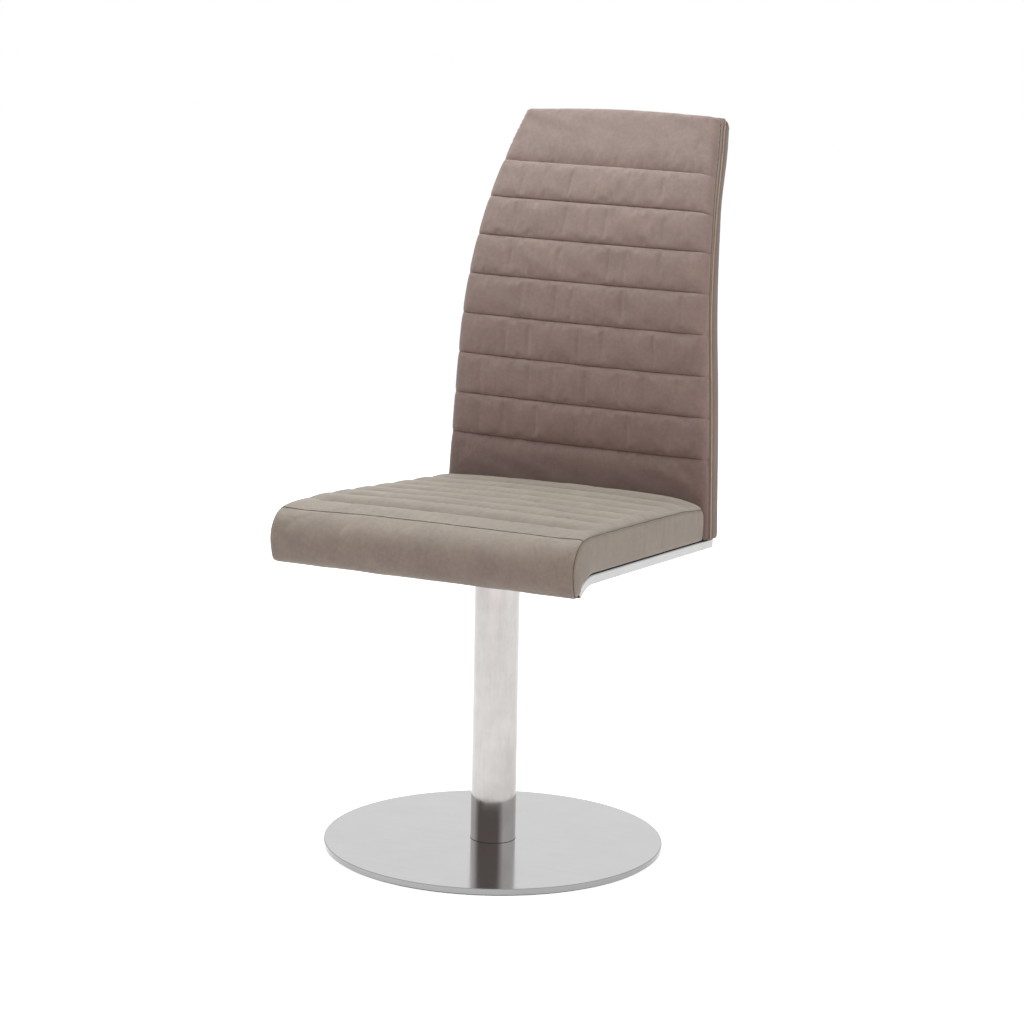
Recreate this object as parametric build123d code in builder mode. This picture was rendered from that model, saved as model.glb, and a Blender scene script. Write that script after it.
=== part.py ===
from build123d import *

import os
from math import asin, cos, radians, sin, sqrt, tan

os.makedirs("parts", exist_ok=True)

# Swivel dining chair. Millimetres and degrees. The origin is the centre of the floor face of the
# base, +Z is up, the chair faces -Y, and left and right are as seen from the front (right is +X).

# --- Base and column ---------------------------------------------------------------------------
base_diameter = 450.0
base_plate_thickness = 8.0
base_edge_chamfer = 0.8
floor_pad_thickness = 1.5
floor_pad_inset = 3.0
column_diameter = 60.0
column_wall = 2.0
column_length = 361.5
foot_plug_height = 25.0
base_bolt_count = 4
base_bolt_diameter = 8.0
base_bolt_length = 26.0
base_bolt_head_diameter = 16.0
base_bolt_circle = 34.0
bolt_socket_size = 5.0
bolt_socket_depth = 2.4

# --- Swivel bearing ----------------------------------------------------------------------------
fit_clearance = 0.05
thread_clearance = 0.05
axial_gap = 0.1
spindle_diameter = 20.0
spindle_tail = 9.0
spindle_head_diameter = 70.0
spindle_head_height = 6.6
housing_length = 60.0
housing_flange_thickness = 3.0
bush_wall = 3.0
bush_length = 20.0
bush_flange_diameter = 32.0
bush_flange_thickness = 2.0
race_thickness = 3.0
race_outer_diameter = 56.0
race_inner_diameter = 34.0
race_gap = 4.0
ball_diameter = 5.8
ball_clearance = 0.15
ball_count = 16
ball_circle = 45.0
cage_thickness = 2.0
cage_outer_diameter = 54.0
cage_inner_diameter = 36.0
washer_diameter = 34.0
washer_thickness = 2.0
ring_thickness = 1.2
ring_diameter = 27.0
ring_groove_depth = 0.9
ring_mouth = 5.0

# --- Seat frame --------------------------------------------------------------------------------
seat_tilt = 3.4
mount_plate_size = 200.0
mount_plate_thickness = 6.0
mount_plate_corner = 15.0
mount_screw_spacing = 150.0
mount_screw_diameter = 8.0
mount_screw_head_diameter = 14.0
mount_screw_head_height = 5.0
mount_screw_hole_room = 0.4
weld_nut_width = 13.0
weld_nut_height = 6.5
rail_width = 40.0
rail_height = 12.5
rail_wall = 1.5
rail_corner = 2.0
rail_rear = 250.0
rail_bend_start = -156.0
rail_bend_radius = 62.0
rail_bend_angle = 40.0
rail_cap_thickness = 1.5
rail_cap_plug = 8.0
cross_bar_wall = 1.5

# --- Seat cushion ------------------------------------------------------------------------------
seat_front_half_width = 216.0
seat_rear_half_width = 198.0
seat_front = -216.0
seat_rear = 209.5
front_seam = -191.0
seat_channels = 8
seat_top_level = 60.0
seat_panel_thickness = 4.0
seat_seam_depth = 2.4
seat_seam_draw_in = 1.0
seat_front_crown = 3.5
seat_rear_crown = 14.0
seat_shoulder_width = 10.0
seat_front_shoulder = 0.8
seat_rear_shoulder = 9.5
nose_radius = 28.0
lip_front = -211.5
lip_radius = 6.0
lip_level = -4.0
lip_length = 2.0
band_thickness = 4.0
dust_cover_thickness = 1.0
dust_cover_inset = 2.0
shell_thickness = 10.0
shell_bend_angle = 34.0
shell_end_room = 0.3
shell_screw_diameter = 5.0
shell_screw_head_diameter = 10.0
shell_screw_head_height = 2.8
shell_screw_bite = 7.0
shell_screw_rows = (-120.0, 40.0, 190.0)
glue_line = 0.2

# --- Backrest ----------------------------------------------------------------------------------
back_clearance = 1.8
back_foot_gap = 0.3
back_lean = 2.4
back_top_lean = 31.0
back_straight = 248.5
back_bend_radius = 530.0
bottom_panel = 110.5
channel_pitch = 55.5
back_channels = 7
top_panel = 86.5
top_arch = 5.0
top_corner_radius = 5.0
top_edge_radius = 6.0
back_bottom_half_width = 200.0
back_taper = 22.5
back_curve_in = 31.7
back_bottom_thickness = 50.0
back_top_thickness = 49.0
back_crown = 4.0
back_rear_crown = 3.0
back_seam_depth = 2.5
back_seam_draw_in = 0.8
back_edge_radius = 11.0
back_rear_edge_radius = 10.0
piping_depth = 18.0
front_cover_thickness = 5.0
cover_thickness = 3.0
rear_pad_thickness = 5.0
board_thickness = 6.0
board_clearance = 3.0
board_screw_diameter = 5.0
board_screw_head_diameter = 9.0
board_screw_head_height = 2.5
board_screw_heights = (45.0, 135.0, 215.0)
back_tube_diameter = 16.0
back_tube_wall = 1.5
back_tube_side = 20.0
back_tube_corner = 45.0
back_tube_top_room = 32.0
back_tube_room = 2.0
silhouette_margin = 1.5
layer_slices = 14

# --- Levels worked out from the sizes above ----------------------------------------------------
plate_top = floor_pad_thickness + base_plate_thickness
column_top = plate_top + column_length
housing_top = column_top + housing_flange_thickness
lower_race_top = housing_top + race_thickness
ball_level = lower_race_top + race_gap / 2
upper_race_bottom = lower_race_top + race_gap
head_bottom = upper_race_bottom + race_thickness
head_top = head_bottom + spindle_head_height
column_bore = column_diameter - 2 * column_wall
housing_bore = spindle_diameter + 2 * fit_clearance + 2 * bush_wall
bush_bore = spindle_diameter + 2 * fit_clearance
housing_bottom = column_top - housing_length
lower_bush_bottom = housing_bottom - bush_flange_thickness
washer_top = lower_bush_bottom - axial_gap
washer_bottom = washer_top - washer_thickness
ring_top = washer_bottom - axial_gap
spindle_bottom = washer_bottom - spindle_tail

tilt = radians(seat_tilt)
rail_underside = head_top + mount_plate_thickness / cos(tilt)
taper_angle = asin((seat_front_half_width - seat_rear_half_width) / (seat_rear - seat_front))
dust_level = rail_height + glue_line
shell_level = dust_level + dust_cover_thickness
foam_level = shell_level + shell_thickness
panel_underside = seat_top_level - seat_panel_thickness
seam_level = seat_top_level - seat_seam_depth
nose_centre_level = seam_level - nose_radius
inner_nose_radius = panel_underside - nose_centre_level
inner_nose_centre = seat_front + seat_panel_thickness + inner_nose_radius
lip_centre = lip_front + lip_radius
lip_end = lip_centre + lip_length
inner_lip_radius = lip_radius - seat_panel_thickness
inner_lip_bottom = lip_level - inner_lip_radius
bend_centre_level = rail_height / 2 - rail_bend_radius
cushion_rear = seat_rear - band_thickness

# The seat lies on its own plane, along the underside of the rails and tilted up at the front.
seat_plane = Plane(origin=(0, 0, rail_underside), x_dir=(1, 0, 0), z_dir=(0, sin(tilt), cos(tilt)))


def half_width_at(y):
    """Half the width of the cushion at distance y along the rails."""
    share = (y - seat_front) / (seat_rear - seat_front)
    return seat_front_half_width + (seat_rear_half_width - seat_front_half_width) * share


def fullness_at(y):
    """Share of the cushion's full rise that is reached at distance y along the rails."""
    remaining = (seat_rear - y) / (seat_rear - front_seam)
    return 1 - min(remaining, 1.0)**6


def crown_at(y):
    """Rise of the middle of the cushion over its side seams at distance y along the rails."""
    return seat_front_crown + (seat_rear_crown - seat_front_crown) * fullness_at(y)


def shoulder_at(y):
    """Rise of the cushion's shoulders over its side seams at distance y along the rails."""
    return seat_front_shoulder + (seat_rear_shoulder - seat_front_shoulder) * fullness_at(y)


def seat_slice(y):
    """Upright plane across the seat at distance y along the rails."""
    origin = seat_plane.from_local_coords(Vector(0, y, 0))
    return Plane(origin=origin, x_dir=seat_plane.x_dir, z_dir=-seat_plane.y_dir)


def seat_side(side, inset=0.0):
    """Upright plane along one side of the seat (-1 left, 0 middle, 1 right), x rearward, y up."""
    half_width = (half_width_at(0) - inset / cos(taper_angle)) * side
    origin = seat_plane.from_local_coords(Vector(half_width, 0, 0))
    lean_in = seat_plane.x_dir * (sin(taper_angle) * side)
    rearward = seat_plane.y_dir * cos(taper_angle * side) - lean_in
    return Plane(origin=origin, x_dir=rearward, z_dir=rearward.cross(seat_plane.z_dir))


def along_side(side):
    """Stretch from a distance along the rails' middle line to one along the seat's side."""
    return 1 / cos(taper_angle * side)


def crowned_across(outline, inset=0.0):
    """Loft an outline, drawn for the left side, the middle and the right side, across the seat."""
    with BuildPart() as body:
        for side in (-1, 0, 1):
            with BuildSketch(seat_side(side, inset)):
                with BuildLine():
                    outline(side)
                make_face()
        loft()
    return body.part


def straight_across(outline, inset=0.0):
    """Run an outline straight across the seat and trim it to the seat's tapered plan."""
    front_edge = half_width_at(2 * seat_front) - inset / cos(taper_angle)
    rear_edge = half_width_at(2 * seat_rear) - inset / cos(taper_angle)
    with BuildPart() as body:
        with BuildSketch(seat_side(0)):
            with BuildLine():
                outline()
            make_face()
        extrude(amount=2 * seat_front_half_width, both=True)
        with BuildSketch(seat_plane):
            with BuildLine():
                Polyline(
                    (-front_edge, 2 * seat_front), (front_edge, 2 * seat_front),
                    (rear_edge, 2 * seat_rear), (-rear_edge, 2 * seat_rear), close=True,
                )
            make_face()
        extrude(amount=seat_front_half_width, both=True, mode=Mode.INTERSECT)
    return body.part


# --- Base and column ---------------------------------------------------------------------------
def base_bolt_places():
    """The places of the bolts round the middle of the base."""
    return PolarLocations(base_bolt_circle / 2, base_bolt_count, start_angle=45)


with BuildPart() as floor_pad:
    with BuildSketch():
        Circle(base_diameter / 2 - floor_pad_inset)
    extrude(amount=floor_pad_thickness)

with BuildPart() as base_plate:
    with BuildSketch(Plane.XY.offset(floor_pad_thickness)):
        Circle(base_diameter / 2)
    extrude(amount=base_plate_thickness)
    chamfer(base_plate.edges().filter_by(GeomType.CIRCLE), base_edge_chamfer)
    with Locations(base_plate.faces().sort_by(Axis.Z)[0]):
        with base_bolt_places():
            CounterSinkHole(
                radius=base_bolt_diameter / 2 + thread_clearance,
                counter_sink_radius=base_bolt_head_diameter / 2 + thread_clearance,
                counter_sink_angle=90,
            )

with BuildPart() as column_foot_plug:
    with BuildSketch(Plane.XY.offset(plate_top)):
        Circle(column_bore / 2)
        with base_bolt_places():
            Circle(base_bolt_diameter / 2 + thread_clearance, mode=Mode.SUBTRACT)
    extrude(amount=foot_plug_height)

with BuildPart() as base_bolts:
    head_depth = (base_bolt_head_diameter - base_bolt_diameter) / 2
    with BuildSketch(Plane.XY.offset(floor_pad_thickness)):
        with base_bolt_places():
            Circle(base_bolt_diameter / 2)
    extrude(amount=base_bolt_length)
    with BuildSketch(Plane.XY.offset(floor_pad_thickness)):
        with base_bolt_places():
            Circle(base_bolt_head_diameter / 2)
    extrude(amount=head_depth, taper=45)
    with BuildSketch(Plane.XY.offset(floor_pad_thickness)):
        with base_bolt_places():
            RegularPolygon(bolt_socket_size / 2, 6, major_radius=False)
    extrude(amount=bolt_socket_depth, mode=Mode.SUBTRACT)

with BuildPart() as column_tube:
    with BuildSketch(Plane.XY.offset(plate_top)):
        Circle(column_diameter / 2)
        Circle(column_bore / 2, mode=Mode.SUBTRACT)
    extrude(amount=column_length)


# --- Swivel bearing ----------------------------------------------------------------------------
def turned(points):
    """A turned piece from its half outline, as (radius, height) points."""
    with BuildPart() as piece:
        with BuildSketch(Plane.XZ):
            with BuildLine():
                Polyline(*points, close=True)
            make_face()
        revolve(axis=Axis.Z)
    return piece.part


def bush_outline(flange_face, direction):
    """Half outline of a flanged bush that points up (1) or down (-1) from its flange."""
    shoulder = flange_face + direction * bush_flange_thickness
    tip = shoulder + direction * bush_length
    bore = bush_bore / 2
    body = housing_bore / 2
    rim = bush_flange_diameter / 2
    return [(bore, flange_face), (rim, flange_face), (rim, shoulder), (body, shoulder),
            (body, tip), (bore, tip)]


def ball_track():
    """The ring of space that the balls run in, with their clearance."""
    with BuildPart() as track:
        with BuildSketch(Plane.XZ):
            with Locations((ball_circle / 2, ball_level)):
                Circle(ball_diameter / 2 + ball_clearance)
        revolve(axis=Axis.Z)
    return track.part


with BuildPart() as bearing_housing:
    add(turned([
        (housing_bore / 2, housing_bottom), (column_bore / 2, housing_bottom),
        (column_bore / 2, column_top), (column_diameter / 2, column_top),
        (column_diameter / 2, housing_top), (housing_bore / 2, housing_top),
    ]))

with BuildPart() as lower_bush:
    add(turned(bush_outline(lower_bush_bottom, 1)))

with BuildPart() as upper_bush:
    add(turned(bush_outline(housing_top + bush_flange_thickness, -1)))

with BuildPart() as lower_race:
    with BuildSketch(Plane.XY.offset(housing_top)):
        Circle(race_outer_diameter / 2)
        Circle(race_inner_diameter / 2, mode=Mode.SUBTRACT)
    extrude(amount=race_thickness)
    add(ball_track(), mode=Mode.SUBTRACT)

with BuildPart() as upper_race:
    with BuildSketch(Plane.XY.offset(upper_race_bottom)):
        Circle(race_outer_diameter / 2)
        Circle(race_inner_diameter / 2, mode=Mode.SUBTRACT)
    extrude(amount=race_thickness)
    add(ball_track(), mode=Mode.SUBTRACT)

with BuildPart() as ball_cage:
    with BuildSketch(Plane.XY.offset(ball_level)):
        Circle(cage_outer_diameter / 2)
        Circle(cage_inner_diameter / 2, mode=Mode.SUBTRACT)
        with PolarLocations(ball_circle / 2, ball_count):
            Circle(ball_diameter / 2 + ball_clearance, mode=Mode.SUBTRACT)
    extrude(amount=cage_thickness / 2, both=True)

with BuildPart() as bearing_balls:
    with Locations((0, 0, ball_level)):
        with PolarLocations(ball_circle / 2, ball_count):
            Sphere(ball_diameter / 2)

with BuildPart() as swivel_spindle:
    groove_radius = spindle_diameter / 2 - ring_groove_depth
    groove_bottom = ring_top - ring_thickness - axial_gap
    head_side = head_top + spindle_head_diameter
    add(turned([
        (0, spindle_bottom), (spindle_diameter / 2, spindle_bottom),
        (spindle_diameter / 2, groove_bottom), (groove_radius, groove_bottom),
        (groove_radius, ring_top + axial_gap), (spindle_diameter / 2, ring_top + axial_gap),
        (spindle_diameter / 2, head_bottom), (spindle_head_diameter / 2, head_bottom),
        (spindle_head_diameter / 2, head_side), (0, head_side),
    ]))
    split(bisect_by=seat_plane.offset(-mount_plate_thickness), keep=Keep.BOTTOM)

with BuildPart() as spindle_washer:
    with BuildSketch(Plane.XY.offset(washer_bottom)):
        Circle(washer_diameter / 2)
        Circle(spindle_diameter / 2 + fit_clearance, mode=Mode.SUBTRACT)
    extrude(amount=washer_thickness)

with BuildPart() as spindle_retaining_ring:
    with BuildSketch(Plane.XY.offset(ring_top - ring_thickness)):
        Circle(ring_diameter / 2)
        Circle(groove_radius, mode=Mode.SUBTRACT)
        with Locations((0, -ring_diameter / 2)):
            Rectangle(ring_mouth, ring_diameter, mode=Mode.SUBTRACT)
    extrude(amount=ring_thickness)


# --- Seat frame --------------------------------------------------------------------------------
def mount_screw_places():
    """The places of the four screws that hold the mount plate to the cross bars."""
    return GridLocations(mount_screw_spacing, mount_screw_spacing, 2, 2)


def cross_bar(y, wall=0.0):
    """Flat bar at distance y, between the inner faces of the rails, less a wall all round."""
    front_reach = half_width_at(y - rail_width / 2) - rail_width / cos(taper_angle)
    rear_reach = half_width_at(y + rail_width / 2) - rail_width / cos(taper_angle)
    front_edge = y - rail_width / 2 + wall
    rear_edge = y + rail_width / 2 - wall
    with BuildPart() as bar:
        with BuildSketch(seat_plane.offset(wall)):
            with BuildLine():
                Polyline(
                    (-front_reach, front_edge), (front_reach, front_edge),
                    (rear_reach, rear_edge), (-rear_reach, rear_edge), close=True,
                )
            make_face()
        extrude(amount=rail_height - 2 * wall)
    return bar.part


def hollow_cross_bar(y):
    """Cross bar of flat tube at distance y, with clearance holes in its lower wall."""
    with BuildPart() as bar:
        add(cross_bar(y))
        add(cross_bar(y, cross_bar_wall), mode=Mode.SUBTRACT)
        with BuildSketch(seat_plane):
            with mount_screw_places():
                Circle(mount_screw_diameter / 2 + mount_screw_hole_room)
        extrude(amount=cross_bar_wall, mode=Mode.SUBTRACT)
    return bar.part


def rail_section(path, shrink=0.0, corner=rail_corner):
    """Flat tube section at the rear end of a rail's path."""
    plane = Plane(origin=path @ 0, x_dir=seat_side(1).z_dir, z_dir=path % 0)
    with BuildSketch(plane) as section:
        RectangleRounded(rail_width - 2 * shrink, rail_height - 2 * shrink, corner)
    return section.sketch


def rail_path():
    """Middle line of the right-hand rail, from its rear end to the tip of its bend."""
    stretch = along_side(1)
    with BuildLine(seat_side(1, rail_width / 2)) as path:
        Line((rail_rear * stretch, rail_height / 2), (rail_bend_start * stretch, rail_height / 2))
        CenterArc(
            (rail_bend_start * stretch, bend_centre_level), rail_bend_radius, 90, rail_bend_angle
        )
    return path.line


def shell_screw_locations():
    """The places of the screws that go up through the right-hand rail into the seat shell."""
    places = []
    for y in shell_screw_rows:
        places.append((half_width_at(y) - rail_width / 2 / cos(taper_angle), y))
    return places


def on_both_sides(piece):
    """A right-hand piece together with its mirror image on the left."""
    with BuildPart() as pair:
        add(piece)
        mirror(piece, about=Plane.YZ)
    return pair.part


def shell_screw_shanks(radius, low, high):
    """Upright rods at the shell screws of both rails, between two levels over the seat plane."""
    with BuildPart() as rods:
        with BuildSketch(seat_plane.offset(low)):
            with Locations(*shell_screw_locations()):
                Circle(radius)
        extrude(amount=high - low)
    return on_both_sides(rods.part)


shell_screw_top = shell_level + shell_screw_bite
shell_screw_holes = shell_screw_shanks(
    shell_screw_diameter / 2 + thread_clearance, -rail_height, shell_screw_top
)

with BuildPart() as seat_mount_plate:
    with BuildSketch(seat_plane.offset(-mount_plate_thickness)):
        RectangleRounded(mount_plate_size, mount_plate_size, mount_plate_corner)
        with mount_screw_places():
            Circle(mount_screw_diameter / 2 + mount_screw_hole_room, mode=Mode.SUBTRACT)
    extrude(amount=mount_plate_thickness)

with BuildPart() as mount_plate_screws:
    screw_end = cross_bar_wall + weld_nut_height
    with BuildSketch(seat_plane.offset(-mount_plate_thickness)):
        with mount_screw_places():
            Circle(mount_screw_diameter / 2)
    extrude(amount=mount_plate_thickness + screw_end)
    with BuildSketch(seat_plane.offset(-mount_plate_thickness)):
        with mount_screw_places():
            Circle(mount_screw_head_diameter / 2)
    extrude(amount=-mount_screw_head_height)

with BuildPart() as mount_weld_nuts:
    with BuildSketch(seat_plane.offset(cross_bar_wall)):
        with mount_screw_places():
            RegularPolygon(weld_nut_width / 2, 6, major_radius=False)
            Circle(mount_screw_diameter / 2 + thread_clearance, mode=Mode.SUBTRACT)
    extrude(amount=weld_nut_height)

with BuildPart() as front_cross_bar:
    add(hollow_cross_bar(-mount_screw_spacing / 2))

with BuildPart() as rear_cross_bar:
    add(hollow_cross_bar(mount_screw_spacing / 2))

with BuildPart() as right_side_rail:
    middle_line = rail_path()
    sweep(rail_section(middle_line), path=middle_line)
    sweep(
        rail_section(middle_line, rail_wall, rail_corner - rail_wall),
        path=middle_line, mode=Mode.SUBTRACT,
    )
    add(shell_screw_holes, mode=Mode.SUBTRACT)

with BuildPart() as left_side_rail:
    mirror(right_side_rail.part, about=Plane.YZ)

with BuildPart() as rail_end_caps:
    cap_path = rail_path()
    extrude(rail_section(cap_path), amount=-rail_cap_thickness)
    extrude(
        rail_section(cap_path, rail_wall, rail_corner - rail_wall), amount=rail_cap_plug
    )
    mirror(rail_end_caps.part, about=Plane.YZ)


# --- Seat cushion ------------------------------------------------------------------------------
def bend_arc(height, angle, side):
    """Arc that follows the rail's front bend at a height over the rails' underside."""
    centre = (rail_bend_start * along_side(side), bend_centre_level)
    return CenterArc(centre, height - bend_centre_level, 90, angle)


def bend_point(height, angle, side):
    """Point of the rail's front bend at a height over the rails' underside, past an angle."""
    reach = height - bend_centre_level
    middle = rail_bend_start * along_side(side)
    return middle - reach * sin(radians(angle)), bend_centre_level + reach * cos(radians(angle))


def nose_points(side, radius, centre, front_crown):
    """Ends and middle of the nose's arc: at the front seam, on its curve and at its front."""
    stretch = along_side(side)
    reach = radius + front_crown * (side == 0)
    middle = centre * stretch
    seam_offset = front_seam - centre
    top = (front_seam * stretch, nose_centre_level + sqrt(reach**2 - seam_offset**2))
    shoulder = (middle - reach * sin(radians(45)), nose_centre_level + reach * cos(radians(45)))
    front = (middle - reach, nose_centre_level)
    return top, shoulder, front


def lip_points(side, radius):
    """Ends and middle of the arc of the lip that turns under the nose."""
    middle = lip_centre * along_side(side)
    front = (middle - radius, lip_level)
    turn = (middle - radius * sin(radians(45)), lip_level - radius * cos(radians(45)))
    bottom = (middle, lip_level - radius)
    return front, turn, bottom


def nose_outline(side):
    """Section of the front panel, from the front seam down to the lip under the nose."""
    seam, shoulder, front = nose_points(
        side, nose_radius, seat_front + nose_radius, seat_front_crown
    )
    lip_top, lip_turn, lip_bottom = lip_points(side, lip_radius)
    inner_seam, inner_shoulder, inner_front = nose_points(
        side, inner_nose_radius, inner_nose_centre, seat_front_crown
    )
    inner_lip_top, inner_turn, inner_bottom = lip_points(side, inner_lip_radius)
    end = lip_end * along_side(side)
    ThreePointArc(seam, shoulder, front)
    Line(front, lip_top)
    ThreePointArc(lip_top, lip_turn, lip_bottom)
    Polyline(lip_bottom, (end, lip_bottom[1]), (end, inner_lip_bottom), inner_bottom)
    ThreePointArc(inner_bottom, inner_turn, inner_lip_top)
    Line(inner_lip_top, inner_front)
    ThreePointArc(inner_front, inner_shoulder, inner_seam)
    Line(inner_seam, seam)


def padding_front(side):
    """The part of the padding's outline that lies under the front panel, from top to lip."""
    centre = inner_nose_centre * along_side(side)
    radius = inner_nose_radius + seat_front_crown * (side == 0)
    top = (centre, nose_centre_level + radius)
    shoulder = (centre - radius * sin(radians(45)), nose_centre_level + radius * cos(radians(45)))
    front = (centre - radius, nose_centre_level)
    lip_top, lip_turn, lip_bottom = lip_points(side, inner_lip_radius)
    ThreePointArc(top, shoulder, front)
    Line(front, lip_top)
    ThreePointArc(lip_top, lip_turn, lip_bottom)
    return top, lip_bottom


def foam_outline(side):
    """Section of the seat foam, over the seat shell and up past the underside of its cover."""
    stretch = along_side(side)
    top, lip_bottom = padding_front(side)
    high = seat_top_level + seat_rear_crown
    end_angle = shell_bend_angle + shell_end_room
    top_arc = bend_arc(foam_level, end_angle, side)
    edge_foot = bend_point(shell_level, end_angle, side)
    Polyline(lip_bottom, (lip_end * stretch, inner_lip_bottom), edge_foot, top_arc @ 1)
    Polyline(
        top_arc @ 0, (cushion_rear * stretch, foam_level), (cushion_rear * stretch, high),
        (top[0], high), top,
    )


def bent_sheet_outline(low, high):
    """Section of a sheet that follows the rails from the back of the cushion round the bend."""
    top_arc = bend_arc(high, shell_bend_angle, 0)
    bottom_arc = bend_arc(low, shell_bend_angle, 0)
    Line(top_arc @ 1, bottom_arc @ 1)
    Polyline(top_arc @ 0, (cushion_rear, high), (cushion_rear, low), bottom_arc @ 0)


def shell_outline():
    """Section of the moulded seat shell."""
    bent_sheet_outline(shell_level, foam_level - glue_line)


def dust_cover_outline():
    """Section of the cloth between the seat shell and the rails."""
    bent_sheet_outline(dust_level, shell_level)


def band_outline(side):
    """Outline of a side band: the whole side of the cushion over the rail."""
    stretch = along_side(side)
    top, lip_bottom = padding_front(side)
    bottom_arc = bend_arc(shell_level, shell_bend_angle, side)
    Polyline(lip_bottom, (lip_end * stretch, inner_lip_bottom), bottom_arc @ 1)
    Polyline(
        bottom_arc @ 0, (seat_rear * stretch, shell_level),
        (seat_rear * stretch, panel_underside), top,
    )


def soft_top(y, level, inset):
    """Curve over the cushion at distance y: a soft shoulder at each side and a shallow crown."""
    edge = half_width_at(y) - inset / cos(taper_angle)
    turn = edge - seat_shoulder_width
    shoulder = level + shoulder_at(y)
    crown = ThreePointArc((-turn, shoulder), (0, level + crown_at(y)), (turn, shoulder))
    TangentArc(crown @ 1, (edge, level), tangent=crown % 1)
    TangentArc(crown @ 0, (-edge, level), tangent=crown % 0 * -1)
    return edge


def quilted_strip(y, top_level, draw_in=0.0):
    """Section of the top panel at distance y along the rails, resting on the side bands."""
    with BuildSketch(seat_slice(y)) as section:
        with BuildLine():
            edge = soft_top(y, top_level, draw_in)
            inner = soft_top(y, panel_underside, band_thickness)
            Polyline((edge, top_level), (edge, panel_underside), (inner, panel_underside))
            Polyline((-edge, top_level), (-edge, panel_underside), (-inner, panel_underside))
        make_face()
    return section.sketch


def foam_strip(y):
    """Section of the space under the top panel at distance y along the rails."""
    level = panel_underside - glue_line
    with BuildSketch(seat_slice(y)) as section:
        with BuildLine():
            edge = soft_top(y, level, band_thickness)
            outside = edge + band_thickness
            Polyline(
                (-edge, level), (-outside, level), (-outside, -seat_top_level),
                (outside, -seat_top_level), (outside, level), (edge, level),
            )
        make_face()
    return section.sketch


def seat_channel(start, end):
    """One sewn channel of the top panel, swelling between its two seams."""
    with BuildPart() as channel:
        loft([
            quilted_strip(start, seam_level, seat_seam_draw_in),
            quilted_strip((start + end) / 2, seat_top_level),
            quilted_strip(end, seam_level, seat_seam_draw_in),
        ])
    return channel.part


with BuildPart() as dust_cover:
    add(straight_across(dust_cover_outline, dust_cover_inset))
    add(shell_screw_holes, mode=Mode.SUBTRACT)

with BuildPart() as seat_shell:
    add(straight_across(shell_outline, band_thickness))
    add(shell_screw_holes, mode=Mode.SUBTRACT)

with BuildPart() as seat_shell_screws:
    add(shell_screw_shanks(shell_screw_diameter / 2, -shell_screw_head_height, shell_screw_top))
    add(shell_screw_shanks(shell_screw_head_diameter / 2, -shell_screw_head_height, 0.0))

with BuildPart() as seat_foam:
    channel_width = (seat_rear - front_seam) / seat_channels
    foam_strips = []
    for i in range(-1, seat_channels + 1):
        foam_strips.append(foam_strip(front_seam + i * channel_width))
    loft(foam_strips)
    add(crowned_across(foam_outline, band_thickness), mode=Mode.INTERSECT)

with BuildPart() as seat_front_panel:
    add(crowned_across(nose_outline))

with BuildPart() as seat_top_panel:
    for i in range(seat_channels):
        add(seat_channel(front_seam + i * channel_width, front_seam + (i + 1) * channel_width))

with BuildPart() as seat_right_band:
    with BuildSketch(seat_side(1)):
        with BuildLine():
            band_outline(1)
        make_face()
    extrude(amount=-band_thickness)

with BuildPart() as seat_left_band:
    mirror(seat_right_band.part, about=Plane.YZ)

with BuildPart() as seat_rear_band:
    band_top = panel_underside - glue_line
    with BuildSketch(seat_slice(seat_rear)):
        with BuildLine():
            edge = soft_top(seat_rear, band_top, band_thickness)
            Polyline((-edge, band_top), (-edge, shell_level), (edge, shell_level), (edge, band_top))
        make_face()
    extrude(amount=band_thickness)


# --- Backrest ----------------------------------------------------------------------------------
back_foot_y = seat_rear + back_clearance + back_crown
back_height = bottom_panel + back_channels * channel_pitch + top_panel
back_bend_length = back_bend_radius * radians(back_top_lean - back_lean)


def back_point(distance):
    """Point of the backrest's front edge line, and its lean, at a distance up the line."""
    foot = seat_plane.from_local_coords(Vector(0, back_foot_y, rail_height + back_foot_gap))
    lean = radians(back_lean)
    straight = min(distance, back_straight)
    y = foot.Y + straight * sin(lean)
    z = foot.Z + straight * cos(lean)
    bent = min(max(distance - back_straight, 0.0), back_bend_length)
    end_lean = lean + bent / back_bend_radius
    y += back_bend_radius * (cos(lean) - cos(end_lean))
    z += back_bend_radius * (sin(end_lean) - sin(lean))
    beyond = max(distance - back_straight - back_bend_length, 0.0)
    y += beyond * sin(end_lean)
    z += beyond * cos(end_lean)
    return y, z, end_lean


def back_slice(distance):
    """Plane across the backrest at a distance up it, its local y axis pointing rearward."""
    y, z, lean = back_point(distance)
    return Plane(origin=(0, y, z), x_dir=(1, 0, 0), z_dir=(0, sin(lean), cos(lean)))


def back_half_width(distance):
    """Half the backrest's width at a distance up it: a taper that curves in near the top."""
    share = distance / back_height
    return back_bottom_half_width - back_taper * share - back_curve_in * share**3


def back_thickness(distance):
    """Thickness of the backrest at a distance up it."""
    share = distance / back_height
    return back_bottom_thickness + (back_top_thickness - back_bottom_thickness) * share


def top_drop(distance, radius):
    """How far the rounded top edge has drawn back from the face at a distance up the back."""
    into = max(distance - (back_height + top_arch - radius), 0.0)
    return radius - sqrt(max(radius**2 - into**2, 0.0))


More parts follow.
